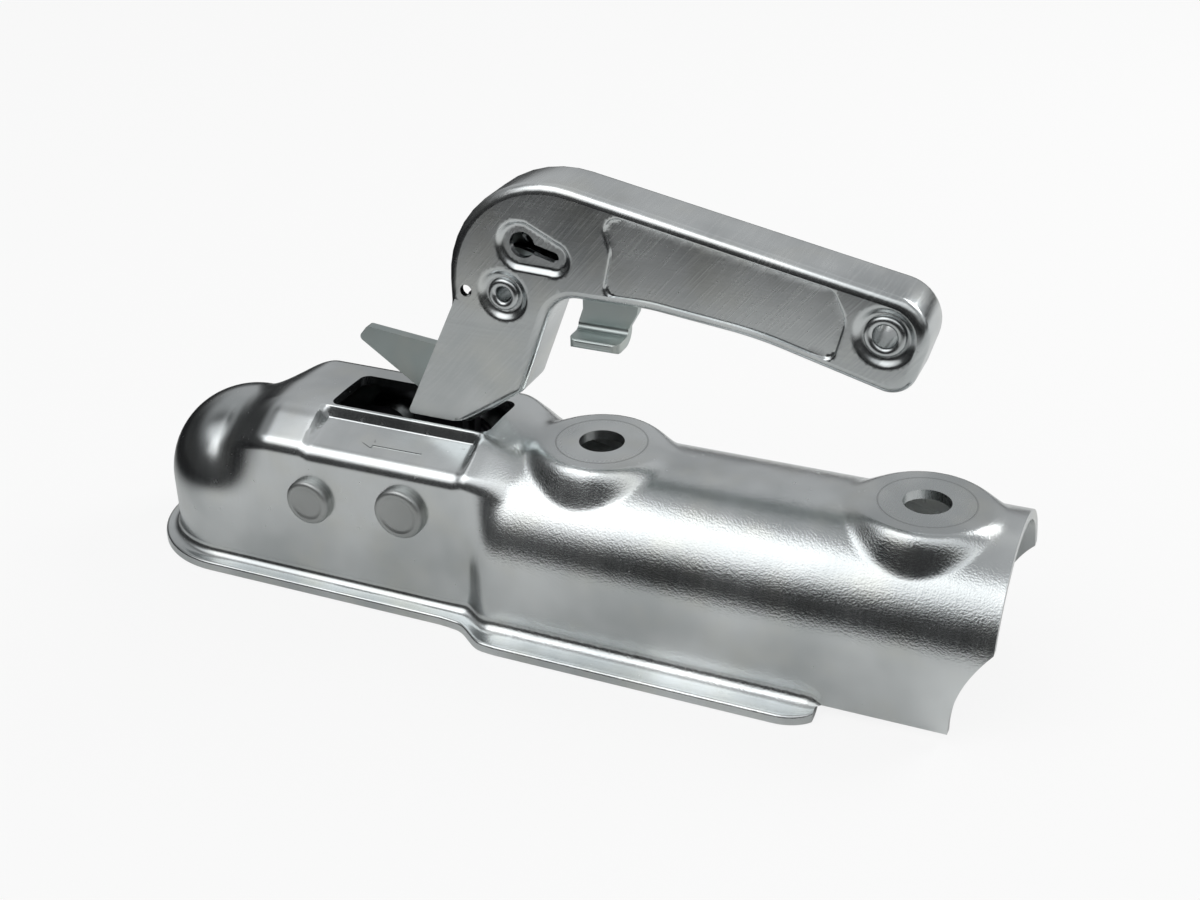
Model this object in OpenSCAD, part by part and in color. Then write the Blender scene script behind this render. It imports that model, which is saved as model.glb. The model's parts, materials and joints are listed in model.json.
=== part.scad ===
// Trailer coupling head: a pressed steel body that drops over a tow ball and bolts onto a round drawbar.
// Millimetres. The origin is the centre of the tow ball, +X runs back to the drawbar, +Z is up.

/* [Ball and drawbar] */
// Diameter of the tow ball
ball_d = 50; // [49:0.5:51]
// Gap between the ball and the socket
ball_gap = 0.4; // [0.3:0.1:0.8]
// Outer diameter of the drawbar tube
tube_d = 60; // [56:1:62]
// Gap between the tube and the saddle
tube_gap = 0.3; // [0.2:0.1:0.8]

/* [Pressed body] */
// Thickness of the body sheet
sheet = 3; // [2.5:0.1:3.5]
// Ball centre to the first drawbar bolt
bolt_x = 127.5; // [125:0.5:132]
// Distance between the drawbar bolts
bolt_pitch = 100; // [90:1:104]
// Diameter of the bolt holes
bolt_hole_d = 14; // [11:0.5:16]
// Last bolt to the rear end of the body
tail_end = 27.5; // [25:0.5:30]
// Height of the crown over the ball centre
crown_z = 36.3; // [35.5:0.1:37.5]
// Ball centre down to the underside of the flange
flange_drop = 22.2; // [21.5:0.1:24]
// Flange width round the nose
nose_flange = 5.4; // [4.6:0.1:6.5]
// Flange width along the tail
tail_flange = 8.8; // [7.5:0.1:10]
// Radius of the fillet between wall and flange
flange_r = 4; // [3:0.1:4.4]
// Radius of the shoulder between wall and crown
shoulder_r = 6; // [5:0.1:7]
// Height of a bolt pad over the tail's ridge
pad_rise = 1; // [0.6:0.1:1.6]
// Radius of a bolt pad's flat top
pad_r = 17.5; // [16.5:0.5:18.5]

/* [Handle slot] */
// Front end of the slot
slot_x = 38.4; // [37.5:0.1:39.4]
// Length of the slot
slot_len = 55.6; // [54:0.1:57]
// Width of the slot
slot_w = 22; // [21:0.1:23]

/* [Pins] */
// Front pin, behind the ball centre
front_pin_x = 39.2; // [38.8:0.1:39.8]
// Front pin height
front_pin_z = 10.1; // [9.6:0.1:10.6]
// Front pin diameter
front_pin_d = 10; // [9:0.1:11]
// Front pin head diameter
front_head_d = 15.2; // [14:0.1:16]
// Rear pin, behind the ball centre
rear_pin_x = 72; // [71.5:0.1:72.5]
// Rear pin height
rear_pin_z = 12.9; // [12.4:0.1:13.4]
// Rear pin diameter
rear_pin_d = 11; // [10:0.1:12]
// Rear pin head diameter
rear_head_d = 16.8; // [15.5:0.1:17.6]
// Height of the pin heads
head_h = 3; // [2.2:0.1:3.4]
// Running clearance between a pin and what turns on it
pin_fit = 0.05; // [0.03:0.01:0.09]

/* [Handle] */
// Overall width of the handle
handle_w = 19; // [18:0.1:20]
// Thickness of the handle sheet
handle_sheet = 2; // [1.6:0.1:2.2]
// Bend radius along the handle's edge
handle_r = 3; // [2.4:0.1:3.2]
// Thickness of each lever plate
lever_t = 4; // [3.4:0.1:4.2]
// Thickness of the latch plate
latch_t = 3; // [2.6:0.1:3.2]
// Side gap beside the latch plate
latch_gap = 0.6; // [0.4:0.05:0.7]
// Reach of the finger lip from the latch plate
lip_reach = 8; // [7:0.1:9]
// Outer diameter of the corner rivet
corner_rivet_d = 10; // [9:0.1:11]
// Outer diameter of the end rivet
end_rivet_d = 12; // [11:0.1:13]

/* [Jaw] */
// Width of the ball jaw
jaw_w = 40; // [36:0.5:44]

/* [Hidden] */
$fn = 64;
eps = 0.01;
through = 200;

// Body sizes that follow from the ball, the tube and the sheet
socket_r = ball_d / 2 + ball_gap;
nose_r = socket_r + sheet;
side_y = nose_r - 0.2;
saddle_r = tube_d / 2 + tube_gap;
tail_r = saddle_r + sheet;
flange_top = sheet - flange_drop;
bolt_x2 = bolt_x + bolt_pitch;
tail_x = bolt_x2 + tail_end;
pad_z = tail_r + pad_rise;
pad_skirt = 7;
slot_end = slot_x + slot_len;

// Places along the body where its section changes
rise_end = 24;
shoulder_z = 27.4;
label_x = slot_x + 1;
label_end = slot_end - 4;
flare_x = slot_end - 2;
flare_len = 12;
flare_end = flare_x + 18;
flange_end = tail_x - 58;
flange_gone = tail_x - 46;

// Handle landmarks, in the X-Z plane
corner_p = [100.9, 81.9];
end_p = [214.1, 86.9];
anchor_p = [88.9, 81.5];
key_p = [107.3, 98];
key_tip = [117.2, 95.5];
half_w = handle_w / 2;
face_in = half_w - handle_sheet;
lever_in = latch_t / 2 + latch_gap;
lever_out = lever_in + lever_t;
dimple_depth = face_in - lever_out - 0.1;
bush_d = corner_rivet_d - 2;
rivet_wall = 1.7;
spacer_wall = 2.5;
plate_wall = 3;
latch_wire = 1.2;
latch_coil_r = bush_d / 2 + 0.3 + latch_wire / 2;
pocket_depth = 2.6;
anchor_way = anchor_p - corner_p;
leg_angle = atan2(anchor_way[1], anchor_way[0]) - acos(latch_coil_r / norm(anchor_way));

// Vector helpers
function unit(v) = v / norm(v);
function lerp(a, b, t) = a + (b - a) * t;
function smooth(a, b, x) = let (t = min(1, max(0, (x - a) / (b - a)))) t * t * (3 - 2 * t);
function last(v) = v[len(v) - 1];

// Points along the round corner at p, between its neighbours p0 and p2, as a circular arc of radius r
function corner(p0, p, p2, r, n) =
    let (
        u = unit(p0 - p),
        v = unit(p2 - p),
        half = acos(max(-1, min(1, u * v))) / 2,
        d = max(0.05, r / max(0.001, tan(half))),
        a = p + u * d,
        b = p + v * d,
        w = sin(half)
    )
    [for (i = [0:n]) let (s = i / n, k = 2 * w * s * (1 - s))
        (a * (1 - s) * (1 - s) + p * k + b * s * s) / ((1 - s) * (1 - s) + k + s * s)];

// Closed outline from corner points [x, z, radius], each rounded in n steps
function rounded(c, n = 6) =
    let (m = len(c))
    [for (i = [0:m - 1])
        let (p = [c[i][0], c[i][1]], p0 = c[(i + m - 1) % m], p2 = c[(i + 1) % m])
        each (c[i][2] < 0.01 ? [p] : corner([p0[0], p0[1]], p, [p2[0], p2[1]], c[i][2], n))];

// Corner points moved inwards, each edge by its own distance, for an outline that runs clockwise
function edge_line(a, b, d) =
    let (u = unit([b[0] - a[0], b[1] - a[1]]), nrm = [u[1], -u[0]])
    [[a[0], a[1]] + nrm * d, u];
function meet(l1, l2) =
    let (w = l2[0] - l1[0], den = l1[1][0] * l2[1][1] - l1[1][1] * l2[1][0])
    l1[0] + l1[1] * ((w[0] * l2[1][1] - w[1] * l2[1][0]) / den);
function turn_side(a, b, c) =
    (b[0] - a[0]) * (c[1] - b[1]) - (b[1] - a[1]) * (c[0] - b[0]);
function inset(c, d) =
    let (m = len(c))
    [for (i = [0:m - 1])
        let (
            j = (i + m - 1) % m,
            k = (i + 1) % m,
            q = meet(edge_line(c[j], c[i], d[j]), edge_line(c[i], c[k], d[i])),
            grow = turn_side(c[j], c[i], c[k]) > 0 ? 1 : -1,
            r = c[i][2] < 0.01 ? 0 : max(0.3, c[i][2] + grow * min(d[j], d[i]))
        )
        [q[0], q[1], r]];

// Half section of the box-shaped middle, from the wall at ball height up to the ridge.
// side is -1 for the marked side and 1 for the plain side, and mark is 1 in the marked recess.
function box_corners(side, mark) =
    let (
        edge = side < 0 ? [slot_w / 2 + 5, crown_z - 1.2, 16] : [slot_w / 2 + 7.6, crown_z - 0.5, 7],
        foot = [slot_w / 2 + 2.2, crown_z - 4, 0.8]
    )
    [
        [side_y, 0, 0],
        [side_y, shoulder_z, shoulder_r],
        lerp(edge, foot, mark),
        [slot_w / 2 + 0.9, crown_z - 0.3, 0.7],
        [0, crown_z, 0]
    ];
// The inner face has the same corners, moved inwards by the sheet
function normal(a, b) = let (u = unit(b - a)) [-u[1], u[0]];
function inner_corners(c, t) =
    let (
        p = [for (v = c) [v[0], v[1]]],
        m = len(c),
        nrm = [for (i = [0:m - 2]) normal(p[i], p[i + 1])]
    )
    [for (i = [0:m - 1])
        i == 0 ? [p[0][0] - t, p[0][1], 0]
        : i == m - 1 ? [p[i][0], p[i][1] - t, 0]
        : let (
            q = p[i] + (nrm[i - 1] + nrm[i]) * t / (1 + nrm[i - 1] * nrm[i]),
            bend = cross(p[i] - p[i - 1], p[i + 1] - p[i])
        ) [q[0], q[1], max(0.1, c[i][2] + (bend > 0 ? -t : t))]];
function box_half(side, mark, t) =
    let (
        outer = box_corners(side, mark),
        c = t > 0 ? inner_corners(outer, t) : outer,
        p = [for (v = c) [v[0], v[1]]],
        shoulder = corner(p[0], p[1], p[2], c[1][2], 6)
    )
    concat(
        [p[0], lerp(p[0], shoulder[0], 0.28), lerp(p[0], shoulder[0], 0.6)],
        shoulder,
        corner(p[1], p[2], p[3], c[2][2], 2),
        corner(p[2], p[3], p[4], c[3][2], 1),
        [lerp(p[3], p[4], 0.5), p[4]]
    );

// Above ball height each point moves along its own ray: from the ball's dome out to the box,
// and from the box out to the half-round tail.
function wall_y(x) = lerp(side_y, tail_r, smooth(flare_x, flare_x + flare_len, x));
function upper_half(x, side, t) =
    let (
        rise = smooth(0, rise_end, x),
        mark = side < 0 ? smooth(label_x - 3, label_x, x) * (1 - smooth(label_end, label_end + 4, x)) : 0,
        plain = box_half(side, 0, 0),
        box = box_half(side, mark, t)
    )
    [for (j = [0:len(box) - 1])
        let (
            a = atan2(plain[j][1], plain[j][0]),
            ray = [cos(a), sin(a)],
            tail = smooth(flare_x, lerp(flare_x + flare_len, flare_end, min(1, a / 50)), x)
        )
        lerp(lerp(ray * (lerp(side_y, nose_r, sin(a)) - t), box[j], rise), ray * (tail_r - t), tail)];
function flange_w(x) =
    lerp(nose_flange, tail_flange, smooth(flare_x - 8, flare_end, x))
    * (x < flange_end ? 1 : sqrt(max(0, 1 - pow((x - flange_end) / (flange_gone - flange_end), 2))));
function half_section(x, side, t) =
    let (
        w = wall_y(x),
        fw = max(0.4, flange_w(x)),
        fr = min(flange_r, fw * 0.6 + 0.1),
        edge = [w + fw, flange_top - t]
    )
    concat(
        [edge],
        corner(edge, [w - t, flange_top - t], [w - t, 0], fr + t, 2),
        upper_half(x, side, t)
    );

// Bolt pads lift the face to one height inside pad_r and fall to the tail outside it
function pad_lift(x, y, z, target) =
    let (d = min(norm([x - bolt_x, y]), norm([x - bolt_x2, y])))
    lerp(z, target, z > 0 ? 1 - smooth(pad_r, pad_r + pad_skirt, d) : 0);
function skin_point(x, y, z, t) =
    [x, y, x > flare_end - 8 ? pad_lift(x, y, z, pad_z - t) : z];

function steps(a, b, n) = [for (i = [0:n - 1]) lerp(a, b, i / n)];
function stations() = concat(
    steps(0, rise_end, 6), [rise_end], [label_x - 3, label_x],
    steps(label_end, flare_end, 9),
    steps(flare_end, bolt_x + pad_r + pad_skirt, 15),
    steps(bolt_x + pad_r + pad_skirt, bolt_x2 - pad_r - pad_skirt, 2),
    steps(bolt_x2 - pad_r - pad_skirt, tail_x, 18), [tail_x]
);
function oriented(x, t, side) =
    [for (p = half_section(x, side, t)) skin_point(x, side * p[0], p[1], t)];
function full_ring(x, t) =
    let (a = oriented(x, t, -1), b = oriented(x, t, 1), n = len(b))
    concat(a, [for (i = [n - 2:-1:0]) b[i]]);
function nose_ring(angle, t) =
    let (a = oriented(0, t, -1))
    [for (i = [0:len(a) - 2]) [a[i][1] * sin(angle), a[i][1] * cos(angle), a[i][2]]];

// The whole sheet as one closed skin: outer face, inner face, and the strips that join them
module pressed_skin() {
    xs = stations();
    ns = len(xs);
    m = len(full_ring(0, 0));
    h = (m - 1) / 2;
    turns = 10;
    nose_n = turns - 1;
    outer = [for (x = xs) each full_ring(x, 0)];
    inner = [for (x = xs) each full_ring(x, sheet)];
    nose_out = [for (k = [1:nose_n]) each nose_ring(k * 180 / turns, 0)];
    nose_in = [for (k = [1:nose_n]) each nose_ring(k * 180 / turns, sheet)];
    base_in = ns * m;
    base_no = 2 * ns * m;
    base_ni = base_no + nose_n * h;
    // Nose index: ring k counts from the marked side (0) round to the plain side (turns)
    function out_i(k, j) = j == h ? h : k == 0 ? j : k == turns ? m - 1 - j : base_no + (k - 1) * h + j;
    function in_i(k, j) =
        j == h ? base_in + h : k == 0 ? base_in + j : k == turns ? base_in + m - 1 - j
        : base_ni + (k - 1) * h + j;
    body = [for (i = [0:ns - 2], j = [0:m - 2])
        let (a = i * m + j, b = a + 1, c = a + m + 1, d = a + m)
        each [[a, b, c], [a, c, d]]];
    body_in = [for (f = body) [f[2] + base_in, f[1] + base_in, f[0] + base_in]];
    nose = [for (k = [0:turns - 1], j = [0:h - 1])
        let (a = out_i(k, j), b = out_i(k, j + 1), c = out_i(k + 1, j + 1), d = out_i(k + 1, j))
        each (j == h - 1 ? [[a, d, b]] : [[a, d, c], [a, c, b]])];
    nose_inner = [for (k = [0:turns - 1], j = [0:h - 1])
        let (a = in_i(k, j), b = in_i(k, j + 1), c = in_i(k + 1, j + 1), d = in_i(k + 1, j))
        each (j == h - 1 ? [[b, d, a]] : [[c, d, a], [b, c, a]])];
    near_edge = [for (i = [0:ns - 2]) let (a = i * m, d = a + m)
        each [[a, d, d + base_in], [a, d + base_in, a + base_in]]];
    far_edge = [for (i = [0:ns - 2]) let (a = i * m + m - 1, d = a + m)
        each [[a + base_in, d + base_in, d], [a + base_in, d, a]]];
    nose_edge = [for (k = [0:turns - 1])
        let (a = out_i(k, 0), b = out_i(k + 1, 0), c = in_i(k + 1, 0), d = in_i(k, 0))
        each [[a, d, c], [a, c, b]]];
    tail = [for (j = [0:m - 2]) let (a = (ns - 1) * m + j, b = a + 1)
        each [[a, b, b + base_in], [a, b + base_in, a + base_in]]];
    polyhedron(
        points = concat(outer, inner, nose_out, nose_in),
        faces = concat(body, body_in, nose, nose_inner, near_edge, far_edge, nose_edge, tail),
        convexity = 8
    );
}

// Turns a flat X-Z shape so that it is extruded along Y, from y0 over a width w
module along_y(y0, w) {
    translate([0, y0 + w, 0]) rotate([90, 0, 0]) linear_extrude(w) children();
}
module pin_y(p, y0, w, d) {
    translate([p[0], y0, p[1]]) rotate([-90, 0, 0]) cylinder(h = w, d = d);
}

module slot_cut() {
    r = 3;
    c = [[slot_x, -slot_w / 2, r], [slot_x, slot_w / 2, r],
        [slot_end, slot_w / 2, r], [slot_end, -slot_w / 2, r]];
    translate([0, 0, 15]) linear_extrude(60) polygon(rounded(c, 5));
}

// The tail's lower edge, and the hollow cut into its lower rear corners
module tail_trim() {
    edge_z = -18.8;
    hollow_r = 40;
    hollow = [tail_x + 30, -17];
    along_y(-through / 2, through) {
        translate([flange_gone - 1.5, -60]) square([60, 60 + edge_z]);
        translate(hollow) circle(r = hollow_r, $fn = 96);
    }
}

module coupling_shell() {
    color("silver") difference() {
        pressed_skin();
        slot_cut();
        tail_trim();
        for (x = [bolt_x, bolt_x2])
            translate([x, 0, 0]) cylinder(h = through, d = bolt_hole_d);
        pin_y([front_pin_x, front_pin_z], -through / 2, through, front_pin_d);
        pin_y([rear_pin_x, rear_pin_z], -through / 2, through, rear_pin_d);
    }
}

// A riveted pin: a plain shank with a low domed head on each side
module riveted_pin(p, d, head) {
    wall = side_y;
    color("lightgray") {
        pin_y(p, -wall - head_h / 2, 2 * wall + head_h, d);
        for (s = [-1, 1]) translate([p[0], s * wall, p[1]]) rotate([-90 * s, 0, 0]) rotate_extrude()
            polygon(concat(
                [[0, 0], [head / 2, 0]],
                corner([head / 2, 0], [head / 2, head_h], [0, head_h], 0.8, 4),
                [[head / 2 - 2, head_h - 0.05], [head / 2 - 2.6, head_h - 0.4], [0, head_h - 0.4]]
            ));
    }
}
module front_pin() { riveted_pin([front_pin_x, front_pin_z], front_pin_d, front_head_d); }
module rear_pin() { riveted_pin([rear_pin_x, rear_pin_z], rear_pin_d, rear_head_d); }

// A plain tube round a pin, between y0 and y1 on one side
module spacer(p, d, wall, y0, y1, side) {
    color("darkgray") difference() {
        pin_y(p, side > 0 ? y0 : -y1, y1 - y0, d + 2 * wall);
        pin_y(p, -through / 2, through, d);
    }
}
module jaw_spacer(side) {
    spacer([front_pin_x, front_pin_z], front_pin_d, spacer_wall, jaw_w / 2 + 0.1, side_y - sheet, side);
}
module lever_spacer(side) {
    spacer([rear_pin_x, rear_pin_z], rear_pin_d, spacer_wall, lever_out + 0.1, side_y - sheet, side);
}

// The handle's outline, clockwise seen from the marked side
function handle_corners() = [
    [66, 37.2, 1], [83, 74, 14], [83, 124.7, 33.5], [229, 96.1, 9], [221, 68.4, 4.5],
    [178, 79.9, 110], [146, 83.6, 60], [117.4, 83.4, 10], [105.3, 50.5, 5], [87.5, 37.2, 3]
];
// Edges 0 and 9 are plain cut edges, the others carry the bent rim
function rim_insets(d) = [0, d, d, d, d, d, d, d, d, 0];
function cavity_insets(d) = [-6, d, d, d, d, d, d, d, d, -6];
function ring_at(y, d) = [for (p = rounded(inset(handle_corners(), rim_insets(d)))) [p[0], y, p[1]]];

function run(v, a, b) = [for (i = [a:b]) v[i]];
// Triangles between two runs of points that face each other across a plate
function ladder(a, b) =
    let (na = len(a) - 1, nb = len(b) - 1)
    concat(
        [for (i = [0:na - 1]) [a[i], a[i + 1], b[ceil(((2 * i + 1) * nb - na) / (2 * na))]]],
        [for (j = [0:nb - 1]) [a[floor(((2 * j + 1) * na + nb) / (2 * nb))], b[j + 1], b[j]]]
    );

// One half of the handle as a shallow pressed pan, open towards the other half.
// The first four corners are its upper side, and the rest its lower side.
module handle_pan() {
    bend = 4;
    upper = 4;
    rings = concat(
        [ring_at(0, 0), ring_at(-(half_w - handle_r), 0)],
        [for (i = [1:bend]) let (a = 90 * i / bend)
            ring_at(-(half_w - handle_r) - handle_r * sin(a), handle_r * (1 - cos(a)))]
    );
    n = len(rings[0]);
    k = len(rings);
    sides = [for (i = [0:k - 2], j = [0:n - 1])
        let (a = i * n + j, b = i * n + (j + 1) % n, c = b + n, d = a + n)
        each [[a, b, c], [a, c, d]]];
    per = n / len(handle_corners());
    up = [for (j = [0:upper * per - 1]) j];
    low = [for (j = [n - 1:-1:upper * per]) j];
    // The neck, the elbow and the arm each have their own runs, so no triangle leaves the outline
    neck = 2 * per - 1;
    elbow = 3 * per - 1;
    cap = concat(
        ladder(run(up, 0, neck), run(low, 0, neck)),
        ladder(run(up, neck, elbow), run(low, neck, elbow)),
        ladder(run(up, elbow, len(up) - 1), run(low, elbow, len(low) - 1))
    );
    polyhedron(
        points = [for (r = rings) each r],
        faces = concat(sides, [for (f = cap) [f[2], f[1], f[0]]], [for (f = cap) f + [1, 1, 1] * (k - 1) * n]),
        convexity = 6
    );
}
module handle_cavity() {
    along_y(-face_in, face_in + eps)
        polygon(rounded(inset(handle_corners(), cavity_insets(handle_sheet))));
}
// A round dimple pressed inwards, with its floor carried on the lever plates or the sleeve
module dimple_back(p, r) {
    translate([p[0], -face_in - eps, p[1]]) rotate([-90, 0, 0])
        cylinder(h = dimple_depth + eps, r1 = r + 1, r2 = r - 0.6);
}
module dimple_front(p, r) {
    translate([p[0], -half_w - eps, p[1]]) rotate([-90, 0, 0])
        cylinder(h = dimple_depth + eps, r1 = r, r2 = r - 1.6);
}
panel_depth = 0.8;
function panel_corners() = [
    [131.6, 111.4, 4], [135.2, 100, 8], [132.6, 86.6, 3], [200.4, 77.6, 3], [203.4, 90, 8],
    [199.6, 98.2, 4]
];
module keyhole(grow, r_round, r_tip) {
    translate(key_p) circle(r = r_round + grow);
    translate(key_tip) circle(r = r_tip + grow);
    u = unit(key_tip - key_p);
    w = r_tip + grow;
    polygon([key_p + [u[1], -u[0]] * w, key_tip + [u[1], -u[0]] * w,
        key_tip - [u[1], -u[0]] * w, key_p - [u[1], -u[0]] * w]);
}
module handle_shell() {
    color("gainsboro") difference() {
        union() {
            difference() {
                handle_pan();
                handle_cavity();
            }
            dimple_back(corner_p, 7.3);
            dimple_back(end_p, 8.2);
            along_y(-face_in - eps, panel_depth) polygon(rounded(panel_corners()));
            along_y(-face_in - eps, panel_depth) keyhole(3, 4, 1.6);
        }
        dimple_front(corner_p, 7.3);
        dimple_front(end_p, 8.2);
        along_y(-half_w - 1, 1 + panel_depth) polygon(rounded(panel_corners()));
        along_y(-half_w - 1, 1 + panel_depth) keyhole(3, 4, 1.6);
        along_y(-half_w - 1, half_w + 2) keyhole(0, 4, 1.6);
        pin_y(anchor_p, -half_w - 1, half_w + 2, 3.8);
        pin_y(corner_p, -half_w - 1, half_w + 2, bush_d);
        pin_y(end_p, -half_w - 1, half_w + 2, end_rivet_d - 2);
        trigger_slot();
    }
}
// The slot in the lower rim that the latch's finger part moves through
module trigger_slot() {
    play = latch_gap + 0.1;
    translate([lip_x - 1.4, -latch_t / 2 - play, 76]) cube([lip_end - lip_x + 7.2, latch_t + play, 12]);
}
module handle_shell_near() { handle_shell(); }
module handle_shell_far() { mirror([0, 1, 0]) handle_shell(); }

// A tubular rivet with a rolled rim on each side
module tube_rivet(p, d_shank, d_head, reach) {
    bore = d_shank / 2 - rivet_wall;
    color("lightgray") for (s = [-1, 1])
        translate([p[0], 0, p[1]]) rotate([-90 * s, 0, 0]) rotate_extrude()
            polygon(concat(
                [[bore, 0], [d_shank / 2, 0], [d_shank / 2, reach - 0.01]],
                [[d_head / 2, reach]],
                corner([d_head / 2, reach], [d_head / 2, reach + 1.4], [bore, reach + 1.4], 1, 4),
                corner([d_head / 2, reach + 1.4], [bore, reach + 1.4], [bore, 0], 1, 4)
            ));
}
dimple_floor = half_w - dimple_depth;
module corner_rivet() { tube_rivet(corner_p, bush_d, corner_rivet_d, dimple_floor); }
module end_rivet() { tube_rivet(end_p, end_rivet_d - 2, end_rivet_d, dimple_floor); }
// A sleeve on the end rivet keeps the two shells apart
module end_sleeve() {
    color("darkgray") difference() {
        pin_y(end_p, -lever_out - 0.1, 2 * lever_out + 0.2, end_rivet_d + 2);
        pin_y(end_p, -through / 2, through, end_rivet_d - 2);
    }
}

// The lever plates join the rear pin to the corner rivet and carry the cam that locks the jaw
function lever_corners() = [
    [59, -4.5, 5.5], [47.6, -5, 3], [50.2, 4, 3], [59, 13, 8], [61, 24, 8], [69.5, 40, 30],
    [80.5, 66, 30], [90.5, 84, 8], [97, 92.5, 6], [110, 88.5, 7], [109.4, 72, 12], [102.6, 52.4, 4],
    [83.4, 41.2, 8], [82.6, 24, 12], [85.5, 8, 10], [76, -1, 12]
];
module lever_plate(side) {
    color("dimgray") difference() {
        along_y(side > 0 ? lever_in : -lever_out, lever_t) polygon(rounded(lever_corners()));
        pin_y([rear_pin_x, rear_pin_z], -through / 2, through, rear_pin_d + 2 * pin_fit);
        pin_y(corner_p, -through / 2, through, bush_d);
        along_y(-through / 2, through) keyhole(0.5, 4, 1.6);
        pin_y(anchor_p, -through / 2, through, 3.8);
        if (side > 0) spring_pocket();
    }
}
module spring_pocket() {
    edge = latch_coil_r + latch_wire / 2 + 0.5;
    leg_w = latch_wire + 1;
    leg_start = corner_p + [cos(leg_angle), sin(leg_angle)] * latch_coil_r;
    u = unit(leg_start - anchor_p);
    across = [-u[1], u[0]] * leg_w / 2;
    pin_y(corner_p, lever_in - 1, pocket_depth + 1, 2 * edge);
    along_y(lever_in - 1, pocket_depth + 1)
        polygon([anchor_p - across, leg_start - across, leg_start + across, anchor_p + across]);
}
module plate_spacer() {
    color("darkgray") difference() {
        pin_y([rear_pin_x, rear_pin_z], -lever_in, 2 * lever_in, rear_pin_d + 2 * plate_wall);
        pin_y([rear_pin_x, rear_pin_z], -through / 2, through, rear_pin_d + 2 * pin_fit);
    }
}

// The latch is one stamped plate: a tongue in front, an eye on the corner rivet and a finger lip behind
lip_x = 121.4;
lip_end = 137.2;
lip_z = 68.6;
lip_bend = 2;
bend_z = lip_z + latch_t + lip_bend;
function latch_corners() = [
    [45.4, 56.2, 1.5], [48.8, 60.4, 1.5], [77, 57.6, 9], [88, 72, 8], [90, 90.5, 7], [101, 93, 6],
    [112, 89.8, 6], [lip_end + 4.2, 88.6, 2], [lip_end + 2.7, 78.6, 2], [lip_end, bend_z, 0.4],
    [lip_x, bend_z, 0.4], [lip_x + 1.5, 78, 1], [lip_x + 1.5, 86.8, 1], [116.5, 86.8, 3],
    [110.2, 80, 6], [101.8, 62, 10], [93.2, 53, 8], [83.4, 47.4, 8], [67.6, 41, 3]
];
module latch_plate() {
    color("silver") difference() {
        union() {
            along_y(-latch_t / 2, latch_t) polygon(rounded(latch_corners(), 5));
            finger_lip();
        }
        pin_y(corner_p, -through / 2, through, bush_d + 2 * pin_fit);
    }
}
// The plate's lower edge is bent over towards the marked side, with rounded free corners
module finger_lip() {
    y0 = -latch_t / 2 - lip_bend;
    free = -latch_t / 2 - lip_reach;
    plan = [[lip_x, latch_t, 0], [lip_x, free, 2.4], [lip_end, free, 2.4], [lip_end, latch_t, 0]];
    intersection() {
        translate([lip_x, 0, 0]) rotate([90, 0, 90]) linear_extrude(lip_end - lip_x) {
            intersection() {
                translate([y0, bend_z]) difference() {
                    circle(r = lip_bend + latch_t, $fn = 32);
                    circle(r = lip_bend, $fn = 32);
                }
                translate([y0, lip_z - eps]) square(lip_bend + latch_t + 2 * eps);
            }
            polygon(rounded([[y0 + eps, lip_z, 0], [free, lip_z, 1.3], [free, lip_z + latch_t, 0.8],
                [y0 + eps, lip_z + latch_t, 0]], 4));
        }
        translate([0, 0, lip_z - 1]) linear_extrude(latch_t + lip_bend + 2) polygon(rounded(plan, 4));
    }
}

// The jaw closes round the back and underside of the ball
function jaw_corners() = [
    [12, 3, 0], [25.5, 6.4, 1.5], [30, 20, 6], [46.6, 20.5, 8], [50.6, 6, 8], [44.6, -10, 12],
    [36, -18.4, 3], [14, -18.4, 2]
];
module ball_jaw() {
    color("dimgray") difference() {
        along_y(-jaw_w / 2, jaw_w) polygon(rounded(jaw_corners()));
        sphere(r = socket_r - 0.1, $fn = 96);
        pin_y([front_pin_x, front_pin_z], -through / 2, through, front_pin_d + 2 * pin_fit);
    }
}

// A coil of round wire swept along a helix on the Y axis through p, with straight ends
// way is 1 for a coil that turns up from +X towards +Z, and -1 for the other hand
function coil_path(p, r, y0, pitch, turns, start, way, n) =
    [for (i = [0:turns * n]) let (a = start + way * 360 * i / n)
        [p[0] + r * cos(a), y0 + pitch * i / n, p[1] + r * sin(a)]];
module wire(path, d, sides = 6) {
    n = len(path);
    function tangent(i) = unit(path[min(n - 1, i + 1)] - path[max(0, i - 1)]);
    points = [for (i = [0:n - 1])
        let (t = tangent(i), u = unit(cross(t, abs(t[1]) > 0.9 ? [1, 0, 0] : [0, 1, 0])), v = cross(t, u))
        for (k = [0:sides - 1]) path[i] + (u * cos(360 * k / sides) + v * sin(360 * k / sides)) * d / 2];
    skin = [for (i = [0:n - 2], k = [0:sides - 1])
        let (a = i * sides + k, b = i * sides + (k + 1) % sides, c = b + sides, e = a + sides)
        each [[c, b, a], [e, c, a]]];
    polyhedron(
        points = points,
        faces = concat(skin, [[for (k = [0:sides - 1]) k]], [[for (k = [sides - 1:-1:0]) (n - 1) * sides + k]]),
        convexity = 8
    );
}
handle_wire = 2.6;
handle_leg = 22;
spring_turns = 4;
module handle_spring(side) {
    r = rear_pin_d / 2 + spacer_wall + 0.3 + handle_wire / 2;
    y0 = lever_out + 0.6 + handle_wire / 2;
    pitch = handle_wire + 0.25;
    p = [rear_pin_x, rear_pin_z];
    coil = coil_path(p, r, y0, pitch, spring_turns, 90, 1, 12);
    leg_x = p[0] + handle_leg;
    path = concat([[leg_x, y0, p[1] + r]], coil, [[p[0] - handle_leg, last(coil)[1], p[1] + r]]);
    color("slategray") mirror([0, side < 0 ? 1 : 0, 0]) wire(path, handle_wire);
}
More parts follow.
